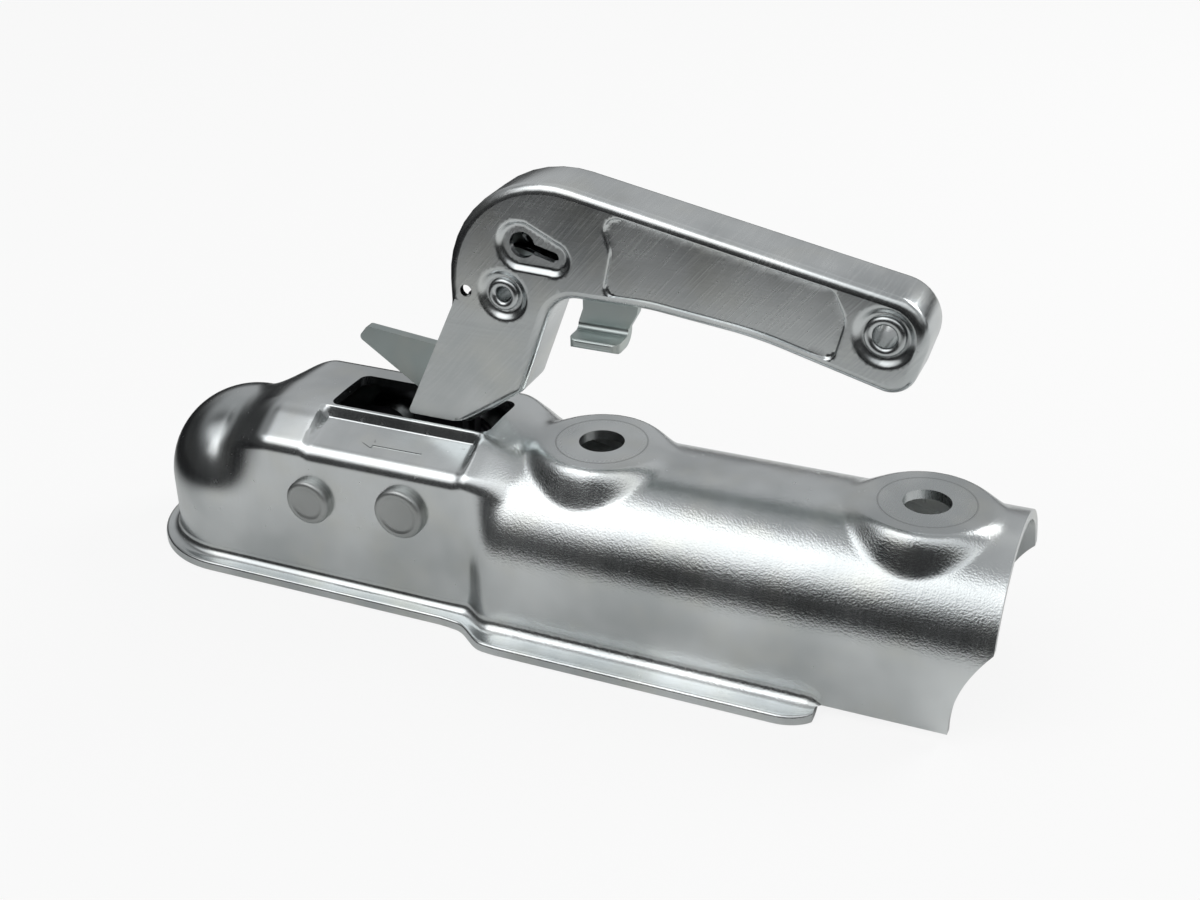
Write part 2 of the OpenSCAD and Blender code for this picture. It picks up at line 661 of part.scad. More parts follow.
// The latch's return spring lies in a pocket of the far lever plate, with one leg to the anchor hole
module latch_spring() {
    y0 = lever_in + pocket_depth - 0.05 - latch_wire / 2;
    coil = coil_path(corner_p, latch_coil_r, y0, -(latch_wire + 0.05), 1, leg_angle, -1, 16);
    path = concat([[anchor_p[0], y0, anchor_p[1]]], coil);
    color("slategray") wire(path, latch_wire);
}

coupling_shell();
front_pin();
rear_pin();
jaw_spacer(-1);  // jaw_spacer_near
jaw_spacer(1);  // jaw_spacer_far
lever_spacer(-1);  // lever_spacer_near
lever_spacer(1);  // lever_spacer_far
lever_plate(-1);  // lever_plate_near
lever_plate(1);  // lever_plate_far
plate_spacer();
handle_shell_near();
handle_shell_far();
corner_rivet();
end_rivet();
end_sleeve();
latch_plate();
latch_spring();
ball_jaw();
handle_spring(-1);  // handle_spring_near
handle_spring(1);  // handle_spring_far
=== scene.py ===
"""Trailer coupling head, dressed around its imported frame.

The pressed body and the two halves of the handle are made again here as smooth sheets, the pins and rivets are turned
from their profiles, and the two springs on the rear pin are wound by Geometry Nodes. Every other piece keeps its solid
and gets its finish. Sizes are in millimetres, and in metres in the finishes and the studio.
"""
import json
import logging
import math
from dataclasses import dataclass, field
from enum import Enum
from typing import Callable, Iterable, Sequence

import bmesh
import bpy
import numpy as np
from mathutils import Matrix, Vector, geometry


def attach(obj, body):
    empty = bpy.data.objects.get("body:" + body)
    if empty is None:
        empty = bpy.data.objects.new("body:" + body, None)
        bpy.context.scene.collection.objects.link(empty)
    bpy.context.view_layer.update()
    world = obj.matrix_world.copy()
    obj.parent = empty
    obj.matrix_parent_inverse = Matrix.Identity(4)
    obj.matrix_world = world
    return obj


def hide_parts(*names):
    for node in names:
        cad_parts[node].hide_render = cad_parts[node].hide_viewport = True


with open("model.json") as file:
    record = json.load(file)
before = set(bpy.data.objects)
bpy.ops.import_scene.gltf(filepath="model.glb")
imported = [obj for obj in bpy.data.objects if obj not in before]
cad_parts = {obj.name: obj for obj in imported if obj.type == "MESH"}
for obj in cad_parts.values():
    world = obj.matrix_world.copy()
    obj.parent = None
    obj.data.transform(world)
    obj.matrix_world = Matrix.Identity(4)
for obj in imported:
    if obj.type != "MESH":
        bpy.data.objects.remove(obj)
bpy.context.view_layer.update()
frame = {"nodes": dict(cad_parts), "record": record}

MM = 0.001
log = logging.getLogger("coupling_head")
Point2 = tuple[float, float]
Corner = tuple[float, float, float]


# ---- shader maths


class Graph:
    """The node tree of a material, a world or Geometry Nodes, with one way to make a node."""

    def __init__(self, tree: bpy.types.NodeTree) -> None:
        """Starts from an empty tree.

        Args:
            tree: the node tree to fill.
        """
        self.tree = tree
        tree.nodes.clear()

    def node(self, kind: str, settings: dict | None = None, inputs: dict | None = None) -> bpy.types.Node:
        """Makes a node.

        Args:
            kind: the node's type name.
            settings: attributes set before any socket, such as operation.
            inputs: socket name or index to a value or a Sock.

        Returns:
            The new node.
        """
        made = self.tree.nodes.new(kind)
        for name, value in (settings or {}).items():
            setattr(made, name, value)
        for name, value in (inputs or {}).items():
            if isinstance(value, Sock):
                self.tree.links.new(value.socket, made.inputs[name])
            else:
                made.inputs[name].default_value = value
        return made

    def sock(self, kind: str, settings: dict | None = None, inputs: dict | None = None,
             out: str | int = 0) -> "Sock":
        """Makes a node and returns one of its outputs as a Sock."""
        return Sock(self, self.node(kind, settings, inputs).outputs[out])

    def mix(self, factor: "Sock | float", a: object, b: object) -> "Sock":
        """Blends two colours by a factor."""
        return self.sock("ShaderNodeMix", {"data_type": "RGBA"}, {0: factor, 6: a, 7: b}, out=2)

    def axes(self, vector: "Sock") -> list["Sock"]:
        """The three parts of a vector."""
        split = self.node("ShaderNodeSeparateXYZ", inputs={0: vector})
        return [Sock(self, split.outputs[axis]) for axis in "XYZ"]

    def noise(self, vector: "Sock", scale: float, detail: float) -> "Sock":
        """A noise field over a vector."""
        return self.sock("ShaderNodeTexNoise", inputs={"Vector": vector, "Scale": scale, "Detail": detail})

    def surface(self, base: "Sock", rough: "Sock", metal: float, height: "Sock", bump: tuple[float, float]) -> None:
        """Ends a material in one bumped surface.

        Args:
            base: its colour.
            rough: its roughness.
            metal: how metallic it is.
            height: the height that bumps it.
            bump: the bump's strength, and its distance in metres.
        """
        normal = self.sock("ShaderNodeBump", inputs={"Height": height, "Strength": bump[0], "Distance": bump[1]})
        shader = self.sock("ShaderNodeBsdfPrincipled", inputs={
            "Base Color": base, "Roughness": rough, "Metallic": metal, "Normal": normal})
        self.node("ShaderNodeOutputMaterial", inputs={"Surface": shader})


class Sock:
    """A socket that takes part in Python sums, each of which adds its Math node."""

    def __init__(self, graph: Graph, socket: bpy.types.NodeSocket) -> None:
        """Wraps a socket of the graph."""
        self.graph = graph
        self.socket = socket

    def maths(self, operation: str, *values: object) -> "Sock":
        """Adds a Math node on the given values, in order."""
        return self.graph.sock("ShaderNodeMath", {"operation": operation}, dict(enumerate(values)))

    def __add__(self, other: "Sock | float") -> "Sock":
        """self + other."""
        return self.maths("ADD", self, other)

    def __radd__(self, other: float) -> "Sock":
        """other + self."""
        return self.maths("ADD", other, self)

    def __sub__(self, other: "Sock | float") -> "Sock":
        """self - other."""
        return self.maths("SUBTRACT", self, other)

    def __rsub__(self, other: float) -> "Sock":
        """other - self."""
        return self.maths("SUBTRACT", other, self)

    def __mul__(self, other: "Sock | float") -> "Sock":
        """self * other."""
        return self.maths("MULTIPLY", self, other)

    def __rmul__(self, other: float) -> "Sock":
        """other * self."""
        return self.maths("MULTIPLY", other, self)

    def ramp(self, low: float, high: float) -> "Sock":
        """0 below low, 1 above high, smooth between them."""
        return self.graph.sock("ShaderNodeMapRange", {"interpolation_type": "SMOOTHSTEP"},
                               {0: self, 1: low, 2: high, 3: 0.0, 4: 1.0})


def new_material(name: str) -> tuple[bpy.types.Material, Graph, Sock]:
    """A new material, its emptied graph and its Object coordinates."""
    material = bpy.data.materials.new(name)
    material.use_nodes = True
    graph = Graph(material.node_tree)
    return material, graph, graph.sock("ShaderNodeTexCoord", out="Object")


class Grain(Enum):
    """Which way a sheet's fine lines run, as the stretch of their noise on each axis."""

    ROUND_X = (26.0, 1.2, 1.2)
    ALONG_X = (1.0, 16.0, 24.0)
    NONE = (1.0, 1.0, 1.0)


@dataclass(frozen=True)
class Zinc:
    """Bright zinc plate on steel sheet: cold white metal with soft clouds of tint and fine drawn lines."""

    name: str
    light: tuple[float, float, float] = (0.72, 0.745, 0.75)
    dark: tuple[float, float, float] = (0.50, 0.525, 0.53)
    tint: tuple[float, float, float] = (0.66, 0.66, 0.60)
    rough: float = 0.20
    grain: Grain = Grain.ROUND_X
    lines: float = 0.5
    peel: float = 0.12
    worn: float = 0.08
    drawn_from: float | None = None
    washers: tuple[float, ...] = ()
    scratch: float = 0.0

    def build(self) -> bpy.types.Material:
        """Makes the material.

        Returns:
            A procedural material on Object coordinates.
        """
        material, g, place = new_material(self.name)
        cloud = g.noise(place, 24, 3).ramp(0.35, 0.68)
        tinted = g.noise(place, 60, 2).ramp(0.45, 0.75)
        lines = g.noise(g.sock("ShaderNodeMapping", inputs={"Vector": place, "Scale": self.grain.value}), 60, 4)
        fine = g.noise(place, 1700, 3)
        specks = g.noise(place, 420, 5).ramp(0.66, 0.78)
        base = g.mix(cloud, (*self.dark, 1), (*self.light, 1))
        base = g.mix(tinted * 0.35, base, (*self.tint, 1))
        base = g.mix(specks * self.worn, base, (0.42, 0.43, 0.43, 1))
        rough = self.rough + lines.ramp(0.35, 0.7) * 0.10 * self.lines + cloud * 0.05 + specks * 0.12
        x, y, z = g.axes(place)
        peel: Sock | float = self.peel
        if self.drawn_from is not None:
            # The sheet's skin roughens where it was drawn the most
            peel = self.peel * (0.15 + x.ramp(self.drawn_from, self.drawn_from + 0.02))
        height = lines * (0.5 * self.lines) + fine * peel
        for centre in self.washers:
            off = x - centre
            reach = x.maths("SQRT", off * off + y * y)
            ring = reach.ramp(0.0136, 0.0139) * (1.0 - reach.ramp(0.0141, 0.0145)) * z.ramp(0.030, 0.032)
            height = height - ring * 4.0
            base = g.mix(ring * 0.45, base, (0.20, 0.21, 0.21, 1))
            rough = rough + ring * 0.12 + (1.0 - reach.ramp(0.0120, 0.0140)) * z.ramp(0.030, 0.032) * 0.07
        if self.scratch:
            # Fine slanting scratches, left by handling
            turned = g.sock("ShaderNodeMapping", inputs={"Vector": place, "Rotation": (0.0, math.radians(50), 0.0)})
            drawn = g.sock("ShaderNodeMapping", inputs={"Vector": turned, "Scale": (1.0, 1.0, 20.0)})
            streak = g.noise(drawn, 80, 5).ramp(0.44, 0.70)
            base = g.mix(streak * self.scratch * 0.5, base, (0.86, 0.88, 0.87, 1))
            rough = rough + streak * (0.10 * self.scratch)
            height = height + streak * (0.7 * self.scratch)
        g.surface(base, rough, 1.0, height, (0.16, 0.00012))
        return material


@dataclass(frozen=True)
class DarkSteel:
    """Dark oiled steel or iron, with a rough skin and lighter rubbed patches scattered at random."""

    name: str
    base: tuple[float, float, float] = (0.045, 0.045, 0.05)
    rubbed: tuple[float, float, float] = (0.22, 0.22, 0.22)
    metal: float = 0.75
    rough: float = 0.42
    grain: float = 260.0
    depth: float = 0.5

    def build(self) -> bpy.types.Material:
        """Makes the material.

        Returns:
            A procedural material on Object coordinates.
        """
        material, g, place = new_material(self.name)
        skin = g.noise(place, self.grain, 5)
        patch = g.noise(place, 70, 3).ramp(0.52, 0.75)
        base = g.mix(patch * 0.6, (*self.base, 1), (*self.rubbed, 1))
        g.surface(base, self.rough + skin * 0.14, self.metal, skin, (self.depth, 0.0002))
        return material


# Every finish on the coupling head, by the record's material slot
RECIPES: dict[str, Zinc | DarkSteel] = {
    "body_zinc": Zinc("zinc_body", lines=0.4, peel=3.6, rough=0.18, drawn_from=0.092, washers=(0.1275, 0.2275)),
    "handle_zinc": Zinc("zinc_handle", grain=Grain.ALONG_X, lines=0.3, rough=0.19, peel=0.1, scratch=0.35),
    "latch_zinc": Zinc("zinc_latch", light=(0.52, 0.575, 0.565), dark=(0.38, 0.43, 0.425), grain=Grain.NONE,
                       rough=0.30),
    "pin_steel": Zinc("zinc_pin", light=(0.47, 0.485, 0.48), dark=(0.31, 0.325, 0.32), tint=(0.44, 0.45, 0.44),
                      grain=Grain.NONE, rough=0.34, lines=0.8, worn=0.5),
    "rivet_steel": Zinc("zinc_rivet", grain=Grain.NONE, rough=0.22, lines=0.6),
    "inner_steel": Zinc("zinc_inner", light=(0.50, 0.51, 0.51), dark=(0.36, 0.37, 0.37), grain=Grain.NONE,
                        rough=0.36),
    "lever_steel": DarkSteel("dark_lever", grain=420.0),
    "jaw_iron": DarkSteel("cast_jaw", metal=0.55, rough=0.5, grain=180.0, depth=0.9),
    "spring_steel": DarkSteel("spring_wire", base=(0.12, 0.12, 0.125), metal=1.0, rough=0.28, depth=0.15)}
Finishes = dict[str, bpy.types.Material]


# ---- plain geometry helpers


def unit(v: np.ndarray) -> np.ndarray:
    """The vector at length 1."""
    return v / max(1e-9, float(np.linalg.norm(v)))


def lerp(a: object, b: object, t: float) -> object:
    """The value a share t of the way from a to b."""
    return a + (b - a) * t


def smooth(a: float, b: float, x: float | np.ndarray) -> float | np.ndarray:
    """0 before a, 1 after b, smooth between them."""
    t = np.clip((x - a) / (b - a), 0.0, 1.0)
    return t * t * (3 - 2 * t)


def arc(p0: np.ndarray, p: np.ndarray, p2: np.ndarray, r: float, n: int) -> list[np.ndarray]:
    """Points on the round corner at p.

    Args:
        p0: the point before the corner.
        p: the corner.
        p2: the point after it.
        r: the corner's radius.
        n: how many steps it takes.

    Returns:
        n + 1 points on a circular arc that meets both sides.
    """
    u, v = unit(p0 - p), unit(p2 - p)
    half = math.acos(max(-1.0, min(1.0, float(u @ v)))) / 2
    d = max(0.05, r / max(0.001, math.tan(half)))
    a, b, w = p + u * d, p + v * d, math.sin(half)
    points = []
    for s in (i / n for i in range(n + 1)):
        k = 2 * w * s * (1 - s)
        points.append((a * (1 - s) ** 2 + p * k + b * s * s) / ((1 - s) ** 2 + k + s * s))
    return points


def rounded(corners: Sequence[Corner], n: int) -> list[np.ndarray]:
    """A closed outline from corners, each rounded to its own radius in n steps."""
    m = len(corners)
    points: list[np.ndarray] = []
    for i, (x, z, r) in enumerate(corners):
        before, after = corners[i - 1], corners[(i + 1) % m]
        points += arc(np.array(before[:2]), np.array((x, z)), np.array(after[:2]), max(r, 0.05), n)
    return points


def inset(corners: Sequence[Corner], d: Sequence[float]) -> list[Corner]:
    """The corners of a clockwise outline with each edge moved inwards by its own distance."""
    m = len(corners)
    moved: list[Corner] = []

    def edge(i: int) -> tuple[np.ndarray, np.ndarray]:
        """Edge i as a point and a direction, after its move."""
        a, b = np.array(corners[i][:2]), np.array(corners[(i + 1) % m][:2])
        u = unit(b - a)
        return a + np.array((u[1], -u[0])) * d[i], u

    for i in range(m):
        (p1, u1), (p2, u2) = edge((i - 1) % m), edge(i)
        w = p2 - p1
        q = p1 + u1 * ((w[0] * u2[1] - w[1] * u2[0]) / (u1[0] * u2[1] - u1[1] * u2[0]))
        turn = u1[0] * u2[1] - u1[1] * u2[0]
        r = max(0.3, corners[i][2] + math.copysign(min(d[i - 1], d[i]), turn))
        moved.append((float(q[0]), float(q[1]), r))
    return moved


def added(name: str, data: bpy.types.ID) -> bpy.types.Object:
    """A new object in the scene that holds the data."""
    made = bpy.data.objects.new(name, data)
    bpy.context.scene.collection.objects.link(made)
    return made


def mesh_object(name: str, points: Iterable[Sequence[float]], faces: Iterable[Sequence[int]],
                material: bpy.types.Material, weld: float = 1e-6, sharp: float = 38.0) -> bpy.types.Object:
    """A smooth-shaded object at the origin from points in millimetres.

    Args:
        name: the object's name.
        points: its points, in millimetres in the part's frame.
        faces: its faces as indices.
        material: its finish.
        weld: points closer than this, in metres, are joined.
        sharp: edges that turn by more degrees than this stay crisp.

    Returns:
        The linked object.
    """
    mesh = bpy.data.meshes.new(name)
    mesh.from_pydata([tuple(float(c) * MM for c in p) for p in points], [], [tuple(f) for f in faces])
    bm = bmesh.new()
    bm.from_mesh(mesh)
    bmesh.ops.remove_doubles(bm, verts=bm.verts, dist=weld)
    bmesh.ops.dissolve_degenerate(bm, edges=bm.edges, dist=weld)
    bmesh.ops.recalc_face_normals(bm, faces=bm.faces)
    bm.to_mesh(mesh)
    bm.free()
    made = added(name, mesh)
    mesh.materials.append(material)
    shade(made, sharp)
    return made


def shade(obj: bpy.types.Object, sharp: float) -> None:
    """Shades an object smooth, with crisp edges where it turns by more than sharp degrees."""
    obj.data.shade_smooth()
    obj.data.set_sharp_from_angle(angle=math.radians(sharp))


def applied(obj: bpy.types.Object) -> None:
    """Turns an object's live modifiers into its own mesh and removes them."""
    bpy.context.view_layer.update()
    baked = bpy.data.meshes.new_from_object(obj.evaluated_get(bpy.context.evaluated_depsgraph_get()))
    old = obj.data
    obj.modifiers.clear()
    obj.data = baked
    baked.name = old.name
    bpy.data.meshes.remove(old)


def cut(obj: bpy.types.Object, cutters: Sequence[bpy.types.Object]) -> None:
    """Cuts each cutter out of the object, and removes the cutters."""
    for cutter in cutters:
        knife = obj.modifiers.new("cut", "BOOLEAN")
        knife.operation, knife.solver, knife.object = "DIFFERENCE", "MANIFOLD", cutter
    applied(obj)
    for cutter in cutters:
        mesh = cutter.data
        bpy.data.objects.remove(cutter)
        bpy.data.meshes.remove(mesh)


def prism(name: str, outline: Sequence[Sequence[float]], place: Callable[[float, float, float], Sequence[float]],
          low: float, high: float, material: bpy.types.Material) -> bpy.types.Object:
    """A straight-sided solid on an outline.

    Args:
        name: the object's name.
        outline: closed outline points in a plane.
        place: turns two plane coordinates and a height into a point of the part.
        low: the height it starts at.
        high: the height it ends at.
        material: its finish.

    Returns:
        The solid.
    """
    n = len(outline)
    points = [place(a, b, h) for h in (low, high) for a, b in outline]
    faces = [(i, (i + 1) % n, n + (i + 1) % n, n + i) for i in range(n)]
    faces += [tuple(range(n - 1, -1, -1)), tuple(range(n, 2 * n))]
    return mesh_object(name, points, faces, material)


def circle(centre: Point2, r: float, n: int = 64) -> list[Point2]:
    """Points round a circle."""
    return [(centre[0] + r * math.cos(2 * math.pi * i / n), centre[1] + r * math.sin(2 * math.pi * i / n))
            for i in range(n)]


def upright(a: float, b: float, h: float) -> tuple[float, float, float]:
    """Places an outline in the ground plane, with its height upwards."""
    return a, b, h


def sideways(a: float, b: float, h: float) -> tuple[float, float, float]:
    """Places an outline in the side view, with its height across the part."""
    return a, h, b


# ---- the pressed body


@dataclass
class CouplingBody:
    """The pressed steel body: a nose cup, a flat-topped housing with a slot, and a half-round tail with bolt pads."""

    finishes: Finishes
    kept: dict[tuple, np.ndarray] = field(default_factory=dict)
    sheet: float = 3.0
    nose_r: float = 28.4
    side_y: float = 28.2
    tail_r: float = 33.3
    crown_z: float = 36.3
    flange_drop: float = 22.2
    nose_flange: float = 5.4
    tail_flange: float = 8.8
    flange_r: float = 4.0
    shoulder_r: float = 6.0
    pad_z: float = 34.3
    pad_r: float = 17.5
    pad_skirt: float = 7.0
    slot_x: float = 38.4
    slot_end: float = 94.0
    slot_w: float = 22.0
    bolts: tuple[float, float] = (127.5, 227.5)
    bolt_r: float = 7.0
    tail_x: float = 255.0
    rise_end: float = 24.0
    shoulder_z: float = 27.4
    pins: tuple[tuple[float, float, float], ...] = ((39.2, 10.1, 5.0), (72.0, 12.9, 5.5))
    stations: int = 300
    turns: int = 48
    steps: tuple[int, ...] = (14, 6, 3)
    fill: tuple[int, ...] = (13, 6, 2, 7)
    crease: float = 32.0
    arrow_at: tuple[float, float, float] = (55.0, 76.0, 8.2)
    arrow_lift: Point2 = (-0.4, 0.32)
    arrow_draft: float = 0.25

    @property
    def flare_x(self) -> float:
        """Where the housing starts to open out into the tail."""
        return self.slot_end - 2

    @property
    def recess_foot(self) -> Point2:
        """Where the recess's slope ends beside the slot, across and up."""
        return self.slot_w / 2 + 2.2, self.crown_z - 4

    def wall(self, x: float) -> float:
        """The body's half width at x."""
        return lerp(self.side_y, self.tail_r, smooth(self.flare_x, self.flare_x + 12, x))

    def flange(self, x: float) -> float:
        """The flange's width at x."""
        gone, start = self.tail_x - 46, self.tail_x - 58
        width = lerp(self.nose_flange, self.tail_flange, smooth(self.flare_x - 8, self.flare_x + 18, x))
        share = 1 - ((x - start) / (gone - start)) ** 2 if x > start else 1.0
        return max(0.4, width * math.sqrt(max(0.0, share)))

    def box(self, side: int, mark: float, t: float) -> np.ndarray:
        """Half a section of the box-shaped middle, from the wall at ball height up to the ridge.

        Args:
            side: -1 for the side with the recess, 1 for the plain side.
            mark: 1 in the recess, 0 away from it.
            t: how deep under the outer face the section lies.

        Returns:
            Its points, the same count for every side, mark and depth.
        """
        edge = (self.slot_w / 2 + 5, self.crown_z - 1.2, 16.0) if side < 0 else (
            self.slot_w / 2 + 7.6, self.crown_z - 0.5, 7.0)
        foot = (*self.recess_foot, 0.8)
        corners = [(self.side_y, 0.0, 0.0), (self.side_y, self.shoulder_z, self.shoulder_r),
                   tuple(lerp(a, b, mark) for a, b in zip(edge, foot)),
                   (self.slot_w / 2 + 0.9, self.crown_z - 0.3, 0.7), (0.0, self.crown_z, 0.0)]
        if t > 0:
            corners = self.deeper(corners, t)
        flat = [np.array(c[:2]) for c in corners]
        points = [flat[0]]
        for i in range(1, len(flat)):
            bend = arc(flat[i - 1], flat[i], flat[i + 1], corners[i][2], self.steps[i - 1]) if i < 4 else [flat[i]]
            start, count = points[-1], self.fill[i - 1]
            points += [lerp(start, bend[0], k / (count + 1)) for k in range(1, count + 1)] + bend
        return np.array(points)

    def deeper(self, corners: list[Corner], t: float) -> list[Corner]:
        """The corners of a half section moved inwards by t, with radii to match."""
        flat = [np.array(c[:2]) for c in corners]
        normals = [np.array((-u[1], u[0])) for u in (unit(b - a) for a, b in zip(flat, flat[1:]))]
        moved: list[Corner] = [(flat[0][0] - t, 0.0, 0.0)]
        for i in range(1, len(flat) - 1):
            n0, n1 = normals[i - 1], normals[i]
            q = flat[i] + (n0 + n1) * t / (1 + float(n0 @ n1))
            before, after = flat[i] - flat[i - 1], flat[i + 1] - flat[i]
            bend = before[0] * after[1] - before[1] * after[0]
            moved.append((float(q[0]), float(q[1]), max(0.1, corners[i][2] + (-t if bend > 0 else t))))
        return moved + [(0.0, float(flat[-1][1]) - t, 0.0)]

    def section(self, x: float, side: int, inside: bool) -> np.ndarray:
        """Half a cross section, from the flange's edge to the ridge.

        Above ball height each point moves along its own ray, from the ball's dome out to the box and from there
        out to the half-round tail.

        Args:
            x: the place along the body.
            side: -1 for the side with the recess, 1 for the plain side.
            inside: True for the sheet's inner face.

        Returns:
            Its points, the same count for every place.
        """
        t = self.sheet if inside else 0.0
        w, fw, top = self.wall(x), self.flange(x), self.sheet - self.flange_drop - t
        fr = min(self.flange_r, fw * 0.6 + 0.1)
        edge, knee, wall = np.array((w + fw, top)), np.array((w - t, top)), np.array((w - t, 0.0))
        bend = arc(edge, knee, wall, fr + t, 10)
        lower = [edge + (np.array((0.0, -self.sheet)) if not inside else 0.0)]
        if not inside:
            lower += arc(lower[0], edge, knee, min(1.0, fw * 0.3), 4)
        start = lower[-1]
        lower += [lerp(start, bend[0], k / 5) for k in range(1, 5)] + bend
        start = lower[-1]
        lower += [lerp(start, wall, k / 9) for k in range(1, 9)]
        rise = smooth(0, self.rise_end, x)
        mark = 0.0
        if side < 0:
            first, end = self.slot_x - 2, self.slot_end - 4
            mark = smooth(first, first + 3, x) * (1 - smooth(end, end + 4, x))
        key = (side, inside, round(mark, 6))
        if key not in self.kept:
            self.kept[key] = self.box(side, mark, t)
        plain = self.kept.setdefault((side, False, 0.0), self.box(side, 0.0, 0.0))
        turn = np.arctan2(plain[:, 1], plain[:, 0])
        ray = np.stack((np.cos(turn), np.sin(turn)), 1)
        dome = ray * (lerp(self.side_y, self.nose_r, np.sin(turn)) - t)[:, None]
        share = np.minimum(1.0, np.degrees(turn) / 50)
        tail = smooth(0, 1, (x - self.flare_x) / (12 + 6 * share))[:, None]
        upper = lerp(lerp(dome, self.kept[key], rise), ray * (self.tail_r - t), tail)
        return np.vstack((lower, upper))

    def lifted(self, x: float, y: float, z: float, inside: bool) -> tuple[float, float, float]:
        """Raises a point of the tail's back onto a bolt pad where it lies inside one."""
        if x > self.slot_end + 8 and z > 0:
            d = min(math.hypot(x - b, y) for b in self.bolts)
            level = self.pad_z - (self.sheet if inside else 0)
            z = lerp(z, level, 1 - smooth(self.pad_r, self.pad_r + self.pad_skirt, d))
        return x, y, z

    def skin(self, inside: bool) -> tuple[list[np.ndarray], list[np.ndarray]]:
        """The rows of one face of the sheet.

        Args:
            inside: True for the inner face.

        Returns:
            The rows along the body, each from flange to flange, and the rows round the nose, each up to the pole.
        """
        rows = []
        for x in np.linspace(0, self.tail_x, self.stations):
            near = self.section(float(x), -1, inside)
            far = self.section(float(x), 1, inside)
            ring = [self.lifted(float(x), -p[0], p[1], inside) for p in near]
            ring += [self.lifted(float(x), p[0], p[1], inside) for p in far[-2::-1]]
            rows.append(np.array(ring))
        near, far = (self.section(0.0, side, inside) for side in (-1, 1))
        nose = []
        for k in range(self.turns + 1):
            a, half = math.pi * k / self.turns, lerp(near, far, k / self.turns)
            nose.append(np.array([(-p[0] * math.sin(a), -p[0] * math.cos(a), p[1]) for p in half]))
        return rows, nose

    def build(self) -> bpy.types.Object:
        """Makes the body.

        Returns:
            The finished body, which stands for the frame's shell.
        """
        points: list[np.ndarray] = []
        faces: list[tuple[int, ...]] = []

        def strip(rows: Sequence[np.ndarray]) -> None:
            """Adds the quads between neighbouring rows of points."""
            start, m = len(points), len(rows[0])
            for row in rows:
                points.extend(row)
            for i in range(len(rows) - 1):
                for j in range(m - 1):
                    a = start + i * m + j
                    faces.append((a, a + 1, a + m + 1, a + m))

        outer, nose_out = self.skin(False)
        inner, nose_in = self.skin(True)
        for rows in (outer, inner, nose_out, nose_in):
            strip(rows)
        self.close_tail(points, faces, outer[-1], inner[-1])
        shell = mesh_object("body_shell", points, faces, self.finishes["body_zinc"], weld=2e-6, sharp=self.crease)
        cut(shell, self.cutters())
        shade(shell, self.crease)
        return shell

    def arrow(self) -> bpy.types.Object:
        """The raised arrow in the recess beside the slot, which points the way the head opens."""
        tip, end, middle = self.arrow_at
        foot = np.array((-self.side_y, self.shoulder_z))
        along = unit(np.array((-self.recess_foot[0], self.recess_foot[1])) - foot)
        out = np.array((-along[1], along[0]))

        def on_slope(a: float, b: float, h: float) -> tuple[float, float, float]:
            """Places an outline on the recess's slope, b up the slope and h off it."""
            p = foot + along * (b - h * self.arrow_draft * math.copysign(1, b - middle)) + out * h
            return a, float(p[0]), float(p[1])

        barb = tip + 4.2
        shape = [(tip, middle)] + [(a, middle + b) for a, b in (
            (barb, 1.9), (barb, 0.62), (end, 0.42), (end, -0.42), (barb, -0.62), (barb, -1.9))]
        low, high = self.arrow_lift
        return prism("body_arrow", rounded([(*c, 0.22) for c in shape], 3), on_slope, low, high,
                     self.finishes["body_zinc"])

    def close_tail(self, points: list[np.ndarray], faces: list[tuple[int, ...]],
                   outer: np.ndarray, inner: np.ndarray) -> None:
        """Closes the sheet's rear end with triangles between its two faces.

        Args:
            points: the mesh's points, added to.
            faces: the mesh's faces, added to.
            outer: the outer face's last row.
            inner: the inner face's last row.
        """
        start = len(points)
        points.extend(outer)
        points.extend(inner)
        na, nb = len(outer) - 1, len(inner) - 1
        i = j = 0
        while i < na or j < nb:
            if j >= nb or (i < na and (i + 0.5) / na <= (j + 0.5) / nb):
                faces.append((start + i, start + i + 1, start + na + 1 + j))
                i += 1
            else:
                faces.append((start + i, start + na + 2 + j, start + na + 1 + j))
                j += 1

    def cutters(self) -> list[bpy.types.Object]:
        """The solids that are cut out of the sheet: slot, bolt holes, pin holes and the tail's trim."""
        f, half = self.finishes["body_zinc"], self.slot_w / 2
        slot = rounded([(x, y, 3) for x, y in ((self.slot_x, -half), (self.slot_x, half), (self.slot_end, half),
                                               (self.slot_end, -half))], 8)
        made = [prism("cut_slot", slot, upright, 15, 75, f)]
        for i, x in enumerate(self.bolts):
            made.append(prism(f"cut_bolt_{i}", circle((x, 0), self.bolt_r, 96), upright, 0, 80, f))
        for i, (x, z, r) in enumerate(self.pins):
            made.append(prism(f"cut_pin_{i}", circle((x, z), r, 48), sideways, -60, 60, f))
        edge = [(self.tail_x + a, b) for a, b in ((-47.5, -60), (12.5, -60), (12.5, -18.8), (-47.5, -18.8))]
        made.append(prism("cut_edge", edge, sideways, -90, 90, f))
        made.append(prism("cut_hollow", circle((self.tail_x + 30, -17), 40, 160), sideways, -90, 90, f))
        return made


# ---- the handle


@dataclass(frozen=True)
class Pressing:
    """A form pressed into the handle's face, all by the distance inside its edge.

    The face slopes from low to high over so many rings of points. About middle the even net keeps clear of the
    rings, and out to beside it is finer.
    """

    depth: float
    low: float
    high: float
    rings: int
    middle: float
    clear: float
    beside: float


